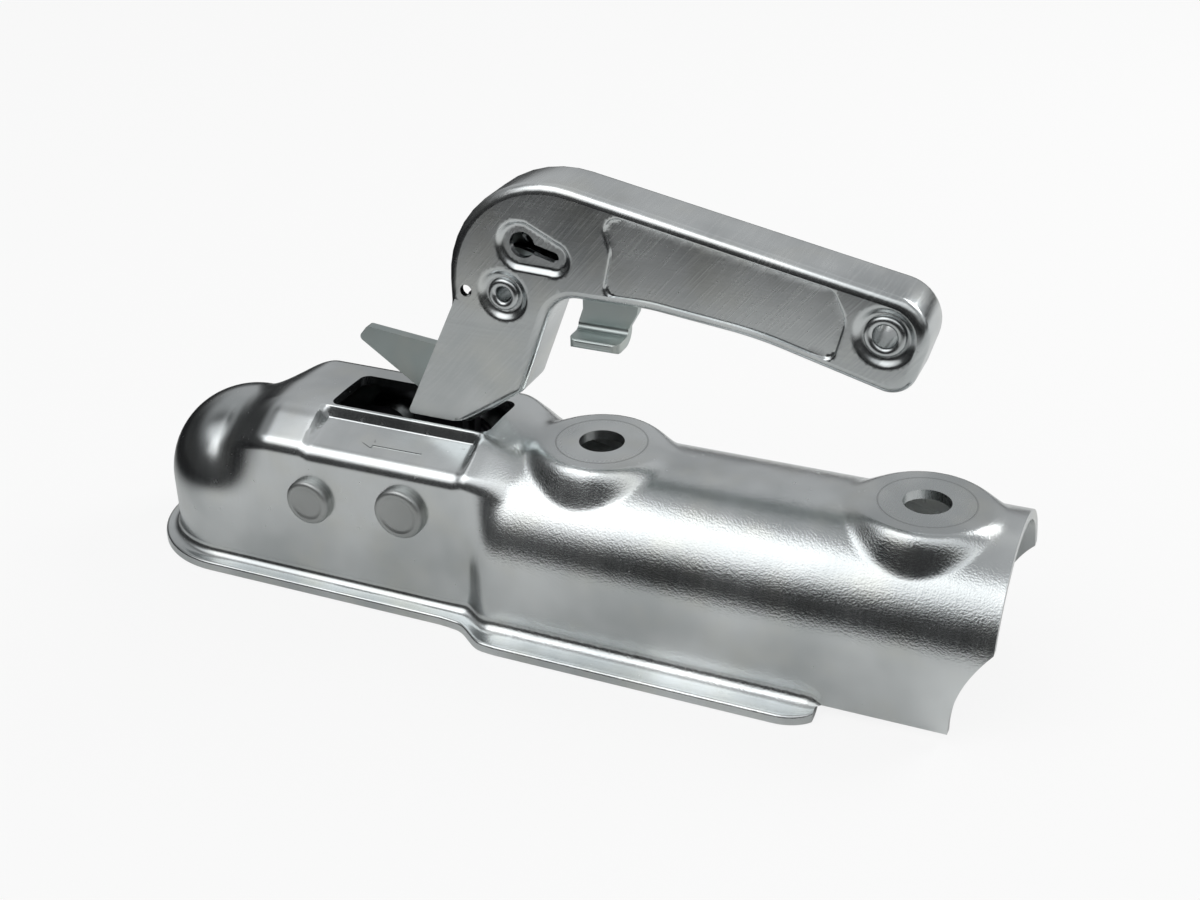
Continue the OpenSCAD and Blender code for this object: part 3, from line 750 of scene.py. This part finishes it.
@dataclass
class Handle:
    """The two pressed halves of the handle, with their rolled rim, panel, keyhole and rivet dimples."""

    finishes: Finishes
    half_w: float = 9.5
    sheet: float = 2.0
    rim_r: float = 3.0
    corner: Point2 = (100.9, 81.9)
    end: Point2 = (214.1, 86.9)
    anchor: Point2 = (88.9, 81.5)
    key: Point2 = (107.3, 98.0)
    key_tip: Point2 = (117.2, 95.5)
    key_r: Point2 = (4.0, 1.6)
    dish_r: Point2 = (7.4, 5.2)
    dimple_r: Point2 = (7.3, 8.2)
    hole_r: tuple[float, float, float] = (1.9, 4.0, 5.0)
    pressings: tuple[Pressing, ...] = (
        Pressing(0.9, -0.35, 0.45, 4, 0.05, 0.65, 1.5), Pressing(1.25, -0.7, 1.5, 8, 0.4, 1.3, 2.0),
        Pressing(1.3, -1.0, 1.6, 8, 0.3, 1.5, 2.2), Pressing(1.3, -1.0, 1.8, 8, 0.4, 1.6, 2.3))
    grid: float = 0.42
    finger_slot: tuple[float, float, float] = (120.0, 143.0, 2.2)
    slot_edge: float = 0.04
    crease: float = 40.0
    outline: tuple[Corner, ...] = (
        (66, 37.2, 1), (83, 74, 14), (83, 124.64, 33.5), (229, 96.1, 12), (221, 68.4, 7.5),
        (178, 79.9, 110), (146, 83.6, 60), (117.4, 83.4, 10), (105.3, 50.5, 5), (87.5, 37.2, 3))
    panel: tuple[Corner, ...] = (
        (131.6, 111.4, 4), (135.2, 100, 8), (132.6, 86.6, 3), (200.4, 77.6, 3), (203.4, 90, 8), (199.6, 98.2, 4))

    def two_arcs(self, radii: Point2, turns: Point2, counts: tuple[int, int]) -> list[Point2]:
        """An outline of two arcs, the first about the keyhole's eye and the second about its tip.

        Args:
            radii: the arcs' radii.
            turns: the angle between the line through both centres and each arc's ends.
            counts: how many points each arc has.

        Returns:
            The outline's points.
        """
        a, b = np.array(self.key), np.array(self.key_tip)
        u = unit(b - a)
        base = math.atan2(u[1], u[0])
        arcs = ((a, base + turns[0], base + 2 * math.pi - turns[0]), (b, base - turns[1], base + turns[1]))
        return [(float(c[0] + r * math.cos(t)), float(c[1] + r * math.sin(t)))
                for (c, low, high), r, n in zip(arcs, radii, counts) for t in np.linspace(low, high, n)]

    def keyhole(self) -> list[Point2]:
        """The keyhole's outline, a round eye with a narrower tail."""
        return self.two_arcs(self.key_r, (math.asin(self.key_r[1] / self.key_r[0]), math.pi / 2), (34, 14))

    def dish(self, inwards: float) -> list[Point2]:
        """An outline round the keyhole's dish, moved inwards by a distance."""
        (ra, rb), away = self.dish_r, np.array(self.key_tip) - np.array(self.key)
        spread = math.acos((ra - rb) / float(np.hypot(*away)))
        return self.two_arcs((ra - inwards, rb - inwards), (spread, spread), (30, 18))

    def inside(self, points: np.ndarray) -> list[np.ndarray]:
        """How far each point lies inside each pressing: the panel, the keyhole's dish and the two dimples."""
        a, b = np.array(self.key), np.array(self.key_tip)
        t = np.clip((points - a) @ (b - a) / ((b - a) @ (b - a)), 0, 1)
        return [signed_distance(points, np.array(rounded(self.panel, 8))),
                lerp(*self.dish_r, t) - np.hypot(*(points - a - (b - a) * t[:, None]).T),
                *(r - np.hypot(*(points - centre).T) for centre, r in zip((self.corner, self.end), self.dimple_r))]

    def depth(self, points: np.ndarray) -> np.ndarray:
        """How far the face is pressed in at each point, in millimetres."""
        deep = np.zeros(len(points))
        for form, inside in zip(self.pressings, self.inside(points)):
            deep = np.maximum(deep, form.depth * smooth(form.low, form.high, inside))
        return deep

    def creases(self) -> list[np.ndarray]:
        """Rings of points that follow each pressed edge, so that the slopes shade evenly."""
        outlines = (lambda d: rounded(inset(self.panel, [d] * len(self.panel)), 12), self.dish,
                    lambda d: circle(self.corner, self.dimple_r[0] - d, 56),
                    lambda d: circle(self.end, self.dimple_r[1] - d, 56))
        return [np.array(outline(d)) for form, outline in zip(self.pressings, outlines)
                for d in np.linspace(form.low, form.high, form.rings)]

    def half(self, side: int) -> bpy.types.Object:
        """Makes one half.

        Args:
            side: -1 for the near half, 1 for the far one.

        Returns:
            The finished half.
        """
        bend = 7
        rings: list[list[np.ndarray]] = []
        depths: list[float] = []
        for k in range(bend + 1):
            a = math.pi / 2 * k / bend
            d = self.rim_r * (1 - math.cos(a))
            shape = inset(self.outline, [0.0] + [d] * 8 + [0.0])
            rings.append(rounded(shape, 12))
            depths.append(self.half_w - self.rim_r + self.rim_r * math.sin(a))
        per = len(rings[0]) // len(self.outline)
        # Pairs of points mark the ends of the slot that the latch's finger passes in the lower rim
        front, rear, reach = self.finger_slot
        for at in (end + gap for end in (rear, front) for gap in (self.slot_edge, -self.slot_edge)):
            edge = rings[0]
            j = next(i for i in range(5 * per, len(edge) - 1) if edge[i][0] >= at > edge[i + 1][0])
            t = (at - edge[j][0]) / (edge[j + 1][0] - edge[j][0])
            rings = [ring[:j + 1] + [lerp(ring[j], ring[j + 1], t)] + ring[j + 1:] for ring in rings]
        rings = [rings[0]] + rings
        depths = [0.0] + depths
        n = len(rings[0])
        points = [(p[0], side * (reach if k == 0 and j > 5 * per and front < p[0] < rear else y), p[1])
                  for k, (ring, y) in enumerate(zip(rings, depths)) for j, p in enumerate(ring)]
        faces = []
        for k in range(len(rings) - 1):
            for j in range(n):
                # The neck's foot and front are plain cut edges; higher up the front only the bend's root is left,
                # as far as the elbow's arc, where the rim begins
                open_edge = j >= n - per // 2 or j < per or (j < 2 * per and k < 3)
                if not open_edge:
                    a, b = k * n + j, k * n + (j + 1) % n
                    faces.append((a, b, b + n, a + n))
        face_points, face_tris = self.face(rings[-1])
        start = len(points)
        deep = self.depth(face_points)
        points += [(p[0], side * (self.half_w - d), p[1]) for p, d in zip(face_points, deep)]
        faces += [tuple(start + i for i in t) for t in face_tris]
        name = "handle_near" if side < 0 else "handle_far"
        made = mesh_object(name, points, faces, self.finishes["handle_zinc"], weld=3e-5, sharp=self.crease)
        wall = made.modifiers.new("wall", "SOLIDIFY")
        wall.thickness, wall.offset = self.sheet * MM, -1.0
        wall.use_even_offset = False
        applied(made)
        shade(made, self.crease)
        return made

    def face(self, ring: Sequence[np.ndarray]) -> tuple[np.ndarray, list[tuple[int, ...]]]:
        """Fills the flat of one half with triangles, finer where it is pressed, and open at its holes.

        Args:
            ring: the outline of the flat.

        Returns:
            The net's points and triangles.
        """
        outline = np.array(dense(ring, 1.0))
        holes = [np.array(self.keyhole())] + [np.array(circle(centre, r, n)) for centre, r, n in zip(
            (self.anchor, self.corner, self.end), self.hole_r, (24, 40, 48))]
        low, high = outline.min(0), outline.max(0)
        step, rise = self.grid, self.grid * 0.866
        iz, ix = np.meshgrid(np.arange(int((high[1] - low[1]) / rise) + 1),
                             np.arange(int((high[0] - low[0]) / step) + 1), indexing="ij")
        iz, ix = iz.ravel(), ix.ravel()
        net = np.stack((low[0] + (ix + 0.5 * (iz % 2)) * step, low[1] + iz * rise), 1)
        coarse = (iz % 4 == 0) & ((ix + iz // 4 * 2) % 4 == 0)
        inside = list(zip(self.pressings, self.inside(net)))
        pressed = np.any([np.abs(d - form.middle) < form.clear for form, d in inside], axis=0)
        beside = np.any([np.abs(d - form.middle) < form.beside for form, d in inside], axis=0)
        keep = (coarse | (beside & (iz % 2 == 0) & ((ix + iz // 2) % 2 == 0))) & ~pressed
        net = net[keep]
        net = net[signed_distance(net, outline) > 0.4]
        for hole in holes:
            net = net[signed_distance(net, hole) < -0.3]
        verts, edges = [], []
        for loop in (outline, *holes, *(np.array(dense(crease, 0.5)) for crease in self.creases())):
            start, m = len(verts), len(loop)
            verts += [Vector(p) for p in loop]
            edges += [(start + i, start + (i + 1) % m) for i in range(m)]
        found = geometry.delaunay_2d_cdt(verts + [Vector(p) for p in net], edges, [], 0, 1e-4)
        points = np.array([(v[0], v[1]) for v in found[0]])
        tris = np.array([tuple(t) for t in found[2]])
        middle = points[tris].mean(1)
        keep = signed_distance(middle, outline) > 0
        for hole in holes:
            keep &= signed_distance(middle, hole) < 0
        return points, [tuple(int(i) for i in t) for t in tris[keep]]


def dense(ring: Sequence[np.ndarray], step: float) -> list[np.ndarray]:
    """A closed outline with points added so that none lie more than a step apart."""
    out: list[np.ndarray] = []
    for a, b in zip(ring, list(ring[1:]) + [ring[0]]):
        gap = float(np.hypot(*(b - a)))
        if gap < 0.02:
            continue
        count = max(1, math.ceil(gap / step))
        out += [lerp(a, b, k / count) for k in range(count)]
    return out


def signed_distance(points: np.ndarray, loop: np.ndarray) -> np.ndarray:
    """The distance from each point to a closed outline, positive inside it."""
    loop = np.asarray(loop, dtype=float)
    a, b = loop, np.roll(loop, -1, axis=0)
    ab = b - a
    rise = np.where(np.abs(ab[:, 1]) < 1e-12, 1e-12, ab[:, 1])
    out = []
    for part in np.array_split(np.atleast_2d(points), max(1, len(points) // 4000)):
        ap = part[:, None, :] - a[None]
        t = np.clip((ap * ab).sum(2) / np.maximum(1e-12, (ab * ab).sum(1)), 0, 1)
        near = np.sqrt(((ap - ab * t[:, :, None]) ** 2).sum(2).min(1))
        z = part[:, None, 1]
        straddles = (a[:, 1] > z) != (b[:, 1] > z)
        crosses = straddles & (part[:, None, 0] < a[:, 0] + ab[:, 0] * (z - a[:, 1]) / rise)
        out.append(np.where(crosses.sum(1) % 2 == 1, near, -near))
    return np.concatenate(out)


# ---- what Geometry Nodes wind and repeat


def tree(name: str, inputs: dict[str, tuple[str, object]]) -> tuple[Graph, dict[str, Sock]]:
    """Starts a Geometry Nodes tree.

    Args:
        name: the tree's name.
        inputs: each named input's socket type and default, which is None for a material.

    Returns:
        The tree's graph and its inputs by name.
    """
    made = bpy.data.node_groups.new(name, "GeometryNodeTree")
    made.interface.new_socket("Geometry", in_out="OUTPUT", socket_type="NodeSocketGeometry")
    for label, (kind, value) in inputs.items():
        socket = made.interface.new_socket(label, in_out="INPUT", socket_type=kind)
        if value is not None:
            socket.default_value = value
    graph = Graph(made)
    given = graph.node("NodeGroupInput")
    return graph, {label: Sock(graph, given.outputs[label]) for label in inputs}


def grown(name: str, group: bpy.types.NodeTree, values: dict[str, object],
          material: bpy.types.Material) -> bpy.types.Object:
    """Runs a Geometry Nodes tree once and keeps its result as a plain mesh.

    Args:
        name: the new object's name.
        group: the tree.
        values: a value for each named input.
        material: the finish, for the mesh's slot.

    Returns:
        The object, with no modifier left.
    """
    made = added(name, bpy.data.meshes.new(name))
    modifier = made.modifiers.new("grow", "NODES")
    modifier.node_group = group
    by_name = {item.name: item.identifier for item in group.interface.items_tree if item.in_out == "INPUT"}
    for label, value in values.items():
        modifier[by_name[label]] = value
    applied(made)
    if not made.data.materials:
        made.data.materials.append(material)
    shade(made, 50)
    return made


@dataclass
class Springs:
    """The two springs on the rear pin that close the handle."""

    finishes: Finishes
    pin: Point2 = (72.0, 12.9)
    wire_r: float = 1.28
    coil_r: float = 9.6
    start_y: float = 8.0
    pitch: float = 2.85
    turns: float = 4.0
    leg: float = 21.8
    coil_steps: int = 40
    wire_steps: int = 14

    def group(self) -> bpy.types.NodeTree:
        """The tree that winds a coil of wire and turns it onto the pin."""
        g, given = tree("wound_spring", {
            "Coil radius": ("NodeSocketFloat", 0.01), "Height": ("NodeSocketFloat", 0.01),
            "Turns": ("NodeSocketFloat", 4.0), "Wire radius": ("NodeSocketFloat", 0.001),
            "Place": ("NodeSocketVector", (0, 0, 0)), "Turn": ("NodeSocketVector", (0, 0, 0)),
            "Leg": ("NodeSocketFloat", 0.02), "Reverse": ("NodeSocketBool", False),
            "Finish": ("NodeSocketMaterial", None)})
        radius, height = given["Coil radius"], given["Height"]
        wire = g.sock("GeometryNodeCurvePrimitiveCircle", inputs={
            "Resolution": self.wire_steps, "Radius": given["Wire radius"]})

        def swept(path: Sock) -> Sock:
            """The wire along a path."""
            return g.sock("GeometryNodeCurveToMesh", inputs={
                "Curve": path, "Profile Curve": wire, "Fill Caps": True})

        plain, reverse = (g.sock("GeometryNodeCurveSpiral", inputs={
            "Resolution": self.coil_steps, "Rotations": given["Turns"], "Start Radius": radius,
            "End Radius": radius, "Height": height, "Reverse": back}) for back in (False, True))
        pieces = [swept(g.sock("GeometryNodeSwitch", {"input_type": "GEOMETRY"}, {
            "Switch": given["Reverse"], "False": plain, "True": reverse}))]
        for along, level in ((-1.0, 0.0), (1.0, height)):
            ends = [g.sock("ShaderNodeCombineXYZ", inputs={"X": radius, "Y": y, "Z": level})
                    for y in (0.0, given["Leg"] * along)]
            pieces.append(swept(g.sock("GeometryNodeCurvePrimitiveLine", inputs=dict(zip(("Start", "End"), ends)))))
        joined = g.node("GeometryNodeJoinGeometry")
        for piece in pieces:
            g.tree.links.new(piece.socket, joined.inputs[0])
        moved = g.sock("GeometryNodeTransform", inputs={
            "Geometry": Sock(g, joined.outputs[0]), "Translation": given["Place"], "Rotation": given["Turn"]})
        real = g.sock("GeometryNodeRealizeInstances", inputs={0: moved})
        dressed = g.sock("GeometryNodeSetMaterial", inputs={"Geometry": real, "Material": given["Finish"]})
        g.node("NodeGroupOutput", inputs={0: dressed})
        return g.tree

    def build(self) -> list[bpy.types.Object]:
        """Makes both springs.

        Returns:
            The near and the far spring.
        """
        group = self.group()
        made = []
        for name, side in (("spring_near", -1), ("spring_far", 1)):
            turn = (math.radians(-90 * side), math.radians(-90), 0.0)
            made.append(grown(name, group, {
                "Coil radius": self.coil_r * MM, "Height": self.pitch * self.turns * MM, "Turns": self.turns,
                "Wire radius": self.wire_r * MM, "Leg": -side * self.leg * MM, "Turn": turn, "Reverse": side < 0,
                "Place": (self.pin[0] * MM, side * self.start_y * MM, self.pin[1] * MM),
                "Finish": self.finishes["spring_steel"]}, self.finishes["spring_steel"]))
        return made


# ---- turned pieces


@dataclass
class Turned:
    """The riveted pins and the tubular rivets, turned from their profiles."""

    finishes: Finishes
    wall: float = 28.2
    head_h: float = 3.0
    floor: float = 8.2
    shank_wall: float = 1.7

    def turn(self, name: str, centre: Point2, profile: Sequence[Point2], material: bpy.types.Material,
             count: int = 72) -> bpy.types.Object:
        """Turns a profile about an axis across the part.

        Args:
            name: the object's name.
            centre: the axis in the side view.
            profile: radius and place across the part of each point; the first and last may lie on the axis.
            material: the finish.
            count: how many steps a turn takes.

        Returns:
            The turned piece.
        """
        points = [(a, y, b) for r, y in profile for a, b in circle(centre, r, count)]
        faces = [(i * count + k, i * count + (k + 1) % count, (i + 1) * count + (k + 1) % count, (i + 1) * count + k)
                 for i in range(len(profile) - 1) for k in range(count)]
        return mesh_object(name, points, faces, material, weld=2e-6, sharp=35)

    def both(self, half: Sequence[Point2]) -> list[Point2]:
        """A profile of half a piece, followed across the part by its mirror image."""
        return [(r, -y) for r, y in half] + [(r, y) for r, y in reversed(half)]

    def pin(self, name: str, centre: Point2, r: float, head: float) -> bpy.types.Object:
        """A pin with an upset head on each side: a shallow rim round a flat, slightly sunk middle."""
        top = self.wall + self.head_h
        edge = rounded([(head, self.wall, 0.1), (head, top - 0.02, 1.5), (0.0, top - 0.02, 0.1)], 6)[7:14]
        half = [(0.0, top - 0.42), (head - 3.3, top - 0.42), (head - 2.7, top - 0.36), (head - 2.2, top - 0.1),
                (head - 1.9, top - 0.02)]
        half += [(float(p[0]), float(p[1])) for p in reversed(edge)]
        half += [(head, self.wall), (r, self.wall)]
        return self.turn(name, centre, self.both(half), self.finishes["pin_steel"])

    def rivet(self, name: str, centre: Point2, shank: float, head: float) -> bpy.types.Object:
        """A tubular rivet with a rolled rim on each side."""
        bore, low, high = shank - self.shank_wall, self.floor, self.floor + 1.38
        middle = (head + bore) / 2
        roll = [(middle + (head - middle) * math.cos(t), low + 0.2 + (high - low - 0.2) * math.sin(t))
                for t in np.linspace(0, math.pi, 15)]
        half = [(shank, low), (head - 0.1, low)] + roll + [(bore, low - 0.6)]
        return self.turn(name, centre, self.both(half) + [(shank, -low)], self.finishes["rivet_steel"])

    def build(self) -> list[tuple[bpy.types.Object, str, str, str]]:
        """Makes them all.

        Returns:
            Each piece with its body, its material slot and the node that it stands for.
        """
        return [
            (self.pin("pin_front", (39.2, 10.1), 5.0, 7.6), "body", "pin_steel", "front_pin"),
            (self.pin("pin_rear", (72.0, 12.9), 5.5, 8.4), "body", "pin_steel", "rear_pin"),
            (self.rivet("rivet_corner", (100.9, 81.9), 4.0, 5.0), "handle", "rivet_steel", "corner_rivet"),
            (self.rivet("rivet_end", (214.1, 86.9), 5.0, 6.0), "handle", "rivet_steel", "end_rivet")]


# ---- the studio


@dataclass
class Studio:
    """A white studio: pale floor, soft lamps, and the camera at the photograph's place."""

    eye: tuple[float, float, float] = (0.3061, -0.4084, 0.2723)
    azimuth: float = 23.70
    elevation: float = 28.41
    roll: float = -1.08
    lens: float = 49.91
    floor_z: float = -0.0224
    reach: float = 4.0
    dark_from: float = 0.20
    dark_full: float = 0.32
    left_from: float = 0.03
    left_full: float = 0.13
    paper: tuple[float, float, float, float] = (0.80, 0.80, 0.79, 1)
    dark: tuple[float, float, float, float] = (0.018, 0.018, 0.019, 1)
    glow: float = 0.86
    room: float = 0.04
    box: float = 0.95
    wall: float = 0.44
    left: float = 0.25
    right: float = 0.35
    above: float = 0.48
    # Each lamp's name, place, aim, width in metres and power in watts
    hung: tuple[tuple[str, Corner, Corner, float, float], ...] = (
        ("key", (-0.35, -0.75, 0.95), (0.10, 0.0, 0.03), 1.0, 2.9),
        ("rim", (0.75, 0.65, 0.7), (0.12, 0.0, 0.04), 0.5, 4.0))

    def camera(self) -> None:
        """Places the camera."""
        data = bpy.data.cameras.new("camera")
        data.lens, data.sensor_width = self.lens, 36.0
        data.clip_start = 0.01
        made = added("camera", data)
        az, el, roll = (math.radians(v) for v in (self.azimuth, self.elevation, self.roll))
        forward = Vector((-math.sin(az) * math.cos(el), math.cos(az) * math.cos(el), -math.sin(el)))
        right = Vector((math.cos(az), math.sin(az), 0))
        up = right.cross(forward)
        side = math.cos(roll) * right + math.sin(roll) * up
        head = -math.sin(roll) * right + math.cos(roll) * up
        turn = Matrix((side, head, -forward)).transposed().to_4x4()
        made.matrix_world = Matrix.Translation(self.eye) @ turn
        bpy.context.scene.camera = made

    def floor(self) -> None:
        """Lays the floor."""
        material, g, place = new_material("studio_floor")
        seen = g.sock("ShaderNodeLightPath", out="Is Camera Ray")
        x, y, _ = g.axes(place)
        # Away from the head, towards the front, the floor passes into the dark of the room for what it reflects
        near = 1.0 - (-1.0 * y).ramp(self.dark_from, self.dark_full)
        near = near * (1.0 - (-1.0 * x).ramp(self.left_from, self.left_full))
        paper = g.sock("ShaderNodeBsdfDiffuse", inputs={
            "Color": g.mix(near.maths("MAXIMUM", near, seen), self.dark, self.paper)})
        light = g.sock("ShaderNodeEmission", inputs={"Color": (1, 1, 1, 1), "Strength": 1.0})
        both = g.sock("ShaderNodeMixShader", inputs={0: seen * self.glow, 1: paper, 2: light})
        g.node("ShaderNodeOutputMaterial", inputs={"Surface": both})
        corners = [(sx * self.reach / MM, sy * self.reach / MM, self.floor_z / MM)
                   for sx, sy in ((-1, -1), (1, -1), (1, 1), (-1, 1))]
        plane = mesh_object("studio_floor", corners, [(0, 1, 2, 3)], material)

    def world(self) -> None:
        """Lights the room: white to the camera, soft panels and dark gaps to the metal."""
        world = bpy.data.worlds.new("studio")
        bpy.context.scene.world = world
        world.use_nodes = True
        g = Graph(world.node_tree)
        x, y, z = g.axes(g.sock("ShaderNodeTexCoord", out="Generated"))
        front = (0.0 - y).ramp(-0.05, 0.30)
        box = front * z.ramp(0.48, 0.66) * (1.0 - z.ramp(0.86, 0.97)) * self.box
        wall = y.ramp(0.0, 0.35) * z.ramp(0.02, 0.20) * (1.0 - z.ramp(0.78, 0.92)) * x.ramp(-0.95, -0.60) * self.wall
        left = (0.0 - x).ramp(0.60, 0.90) * z.ramp(0.30, 0.55) * self.left
        right = x.ramp(0.55, 0.85) * z.ramp(0.10, 0.40) * self.right
        grey = self.room + box + wall + left + right + z.ramp(0.74, 0.90) * self.above
        room = g.sock("ShaderNodeCombineColor", inputs={0: grey, 1: grey * 1.01, 2: grey * 1.02})
        seen = g.sock("ShaderNodeLightPath", out="Is Camera Ray")
        light = g.sock("ShaderNodeBackground", inputs={"Color": g.mix(seen, room, (1, 1, 1, 1)), "Strength": 1.0})
        g.node("ShaderNodeOutputWorld", inputs={"Surface": light})

    def lamps(self) -> None:
        """Hangs the soft lamps."""
        for name, at, aim, size, power in self.hung:
            data = bpy.data.lights.new(name, "AREA")
            data.energy, data.size = power, size
            made = added(name, data)
            made.location = at
            made.rotation_euler = (Vector(aim) - Vector(at)).to_track_quat("-Z", "Y").to_euler()

    def build(self) -> None:
        """Sets up the whole studio."""
        bpy.context.scene.view_settings.view_transform = "Standard"
        self.camera()
        self.floor()
        self.world()
        self.lamps()


def dress(finishes: Finishes) -> None:
    """Gives every carried-over solid the finish of its slot."""
    slots = {row["node"]: row["material_slot"] for row in frame["record"]["subparts"]}
    for name, obj in frame["nodes"].items():
        material = finishes[slots[name]]
        if not obj.material_slots:
            obj.data.materials.append(material)
        for slot in obj.material_slots:
            slot.material = material
        log.info("dressed %s in %s", name, material.name)


def place(obj: bpy.types.Object, body: str, slot: str, *nodes: str) -> None:
    """Puts a finished piece on its body.

    Args:
        obj: the piece.
        body: the body that carries it.
        slot: the record's material slot of its finish; not used.
        nodes: the frame's nodes that it stands for.
    """
    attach(obj, body)
    if nodes:
        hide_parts(*nodes)
    log.info("%s: %d faces, rides on %s", obj.name, len(obj.data.polygons), body)


def main() -> None:
    """Builds the coupling head's pieces in order and reports each."""
    logging.basicConfig(level=logging.INFO, format="%(message)s")
    finishes = {slot: recipe.build() for slot, recipe in RECIPES.items()}
    Studio().build()
    dress(finishes)
    coupling = CouplingBody(finishes)
    place(coupling.build(), "body", "body_zinc", "coupling_shell")
    place(coupling.arrow(), "body", "body_zinc")
    handle = Handle(finishes)
    for side, node in ((-1, "handle_shell_near"), (1, "handle_shell_far")):
        place(handle.half(side), "handle", "handle_zinc", node)
    for piece, node in zip(Springs(finishes).build(), ("handle_spring_near", "handle_spring_far")):
        place(piece, "body", "spring_steel", node)
    for piece, body, slot, node in Turned(finishes).build():
        place(piece, body, slot, node)


if __name__ == "__main__":
    main()
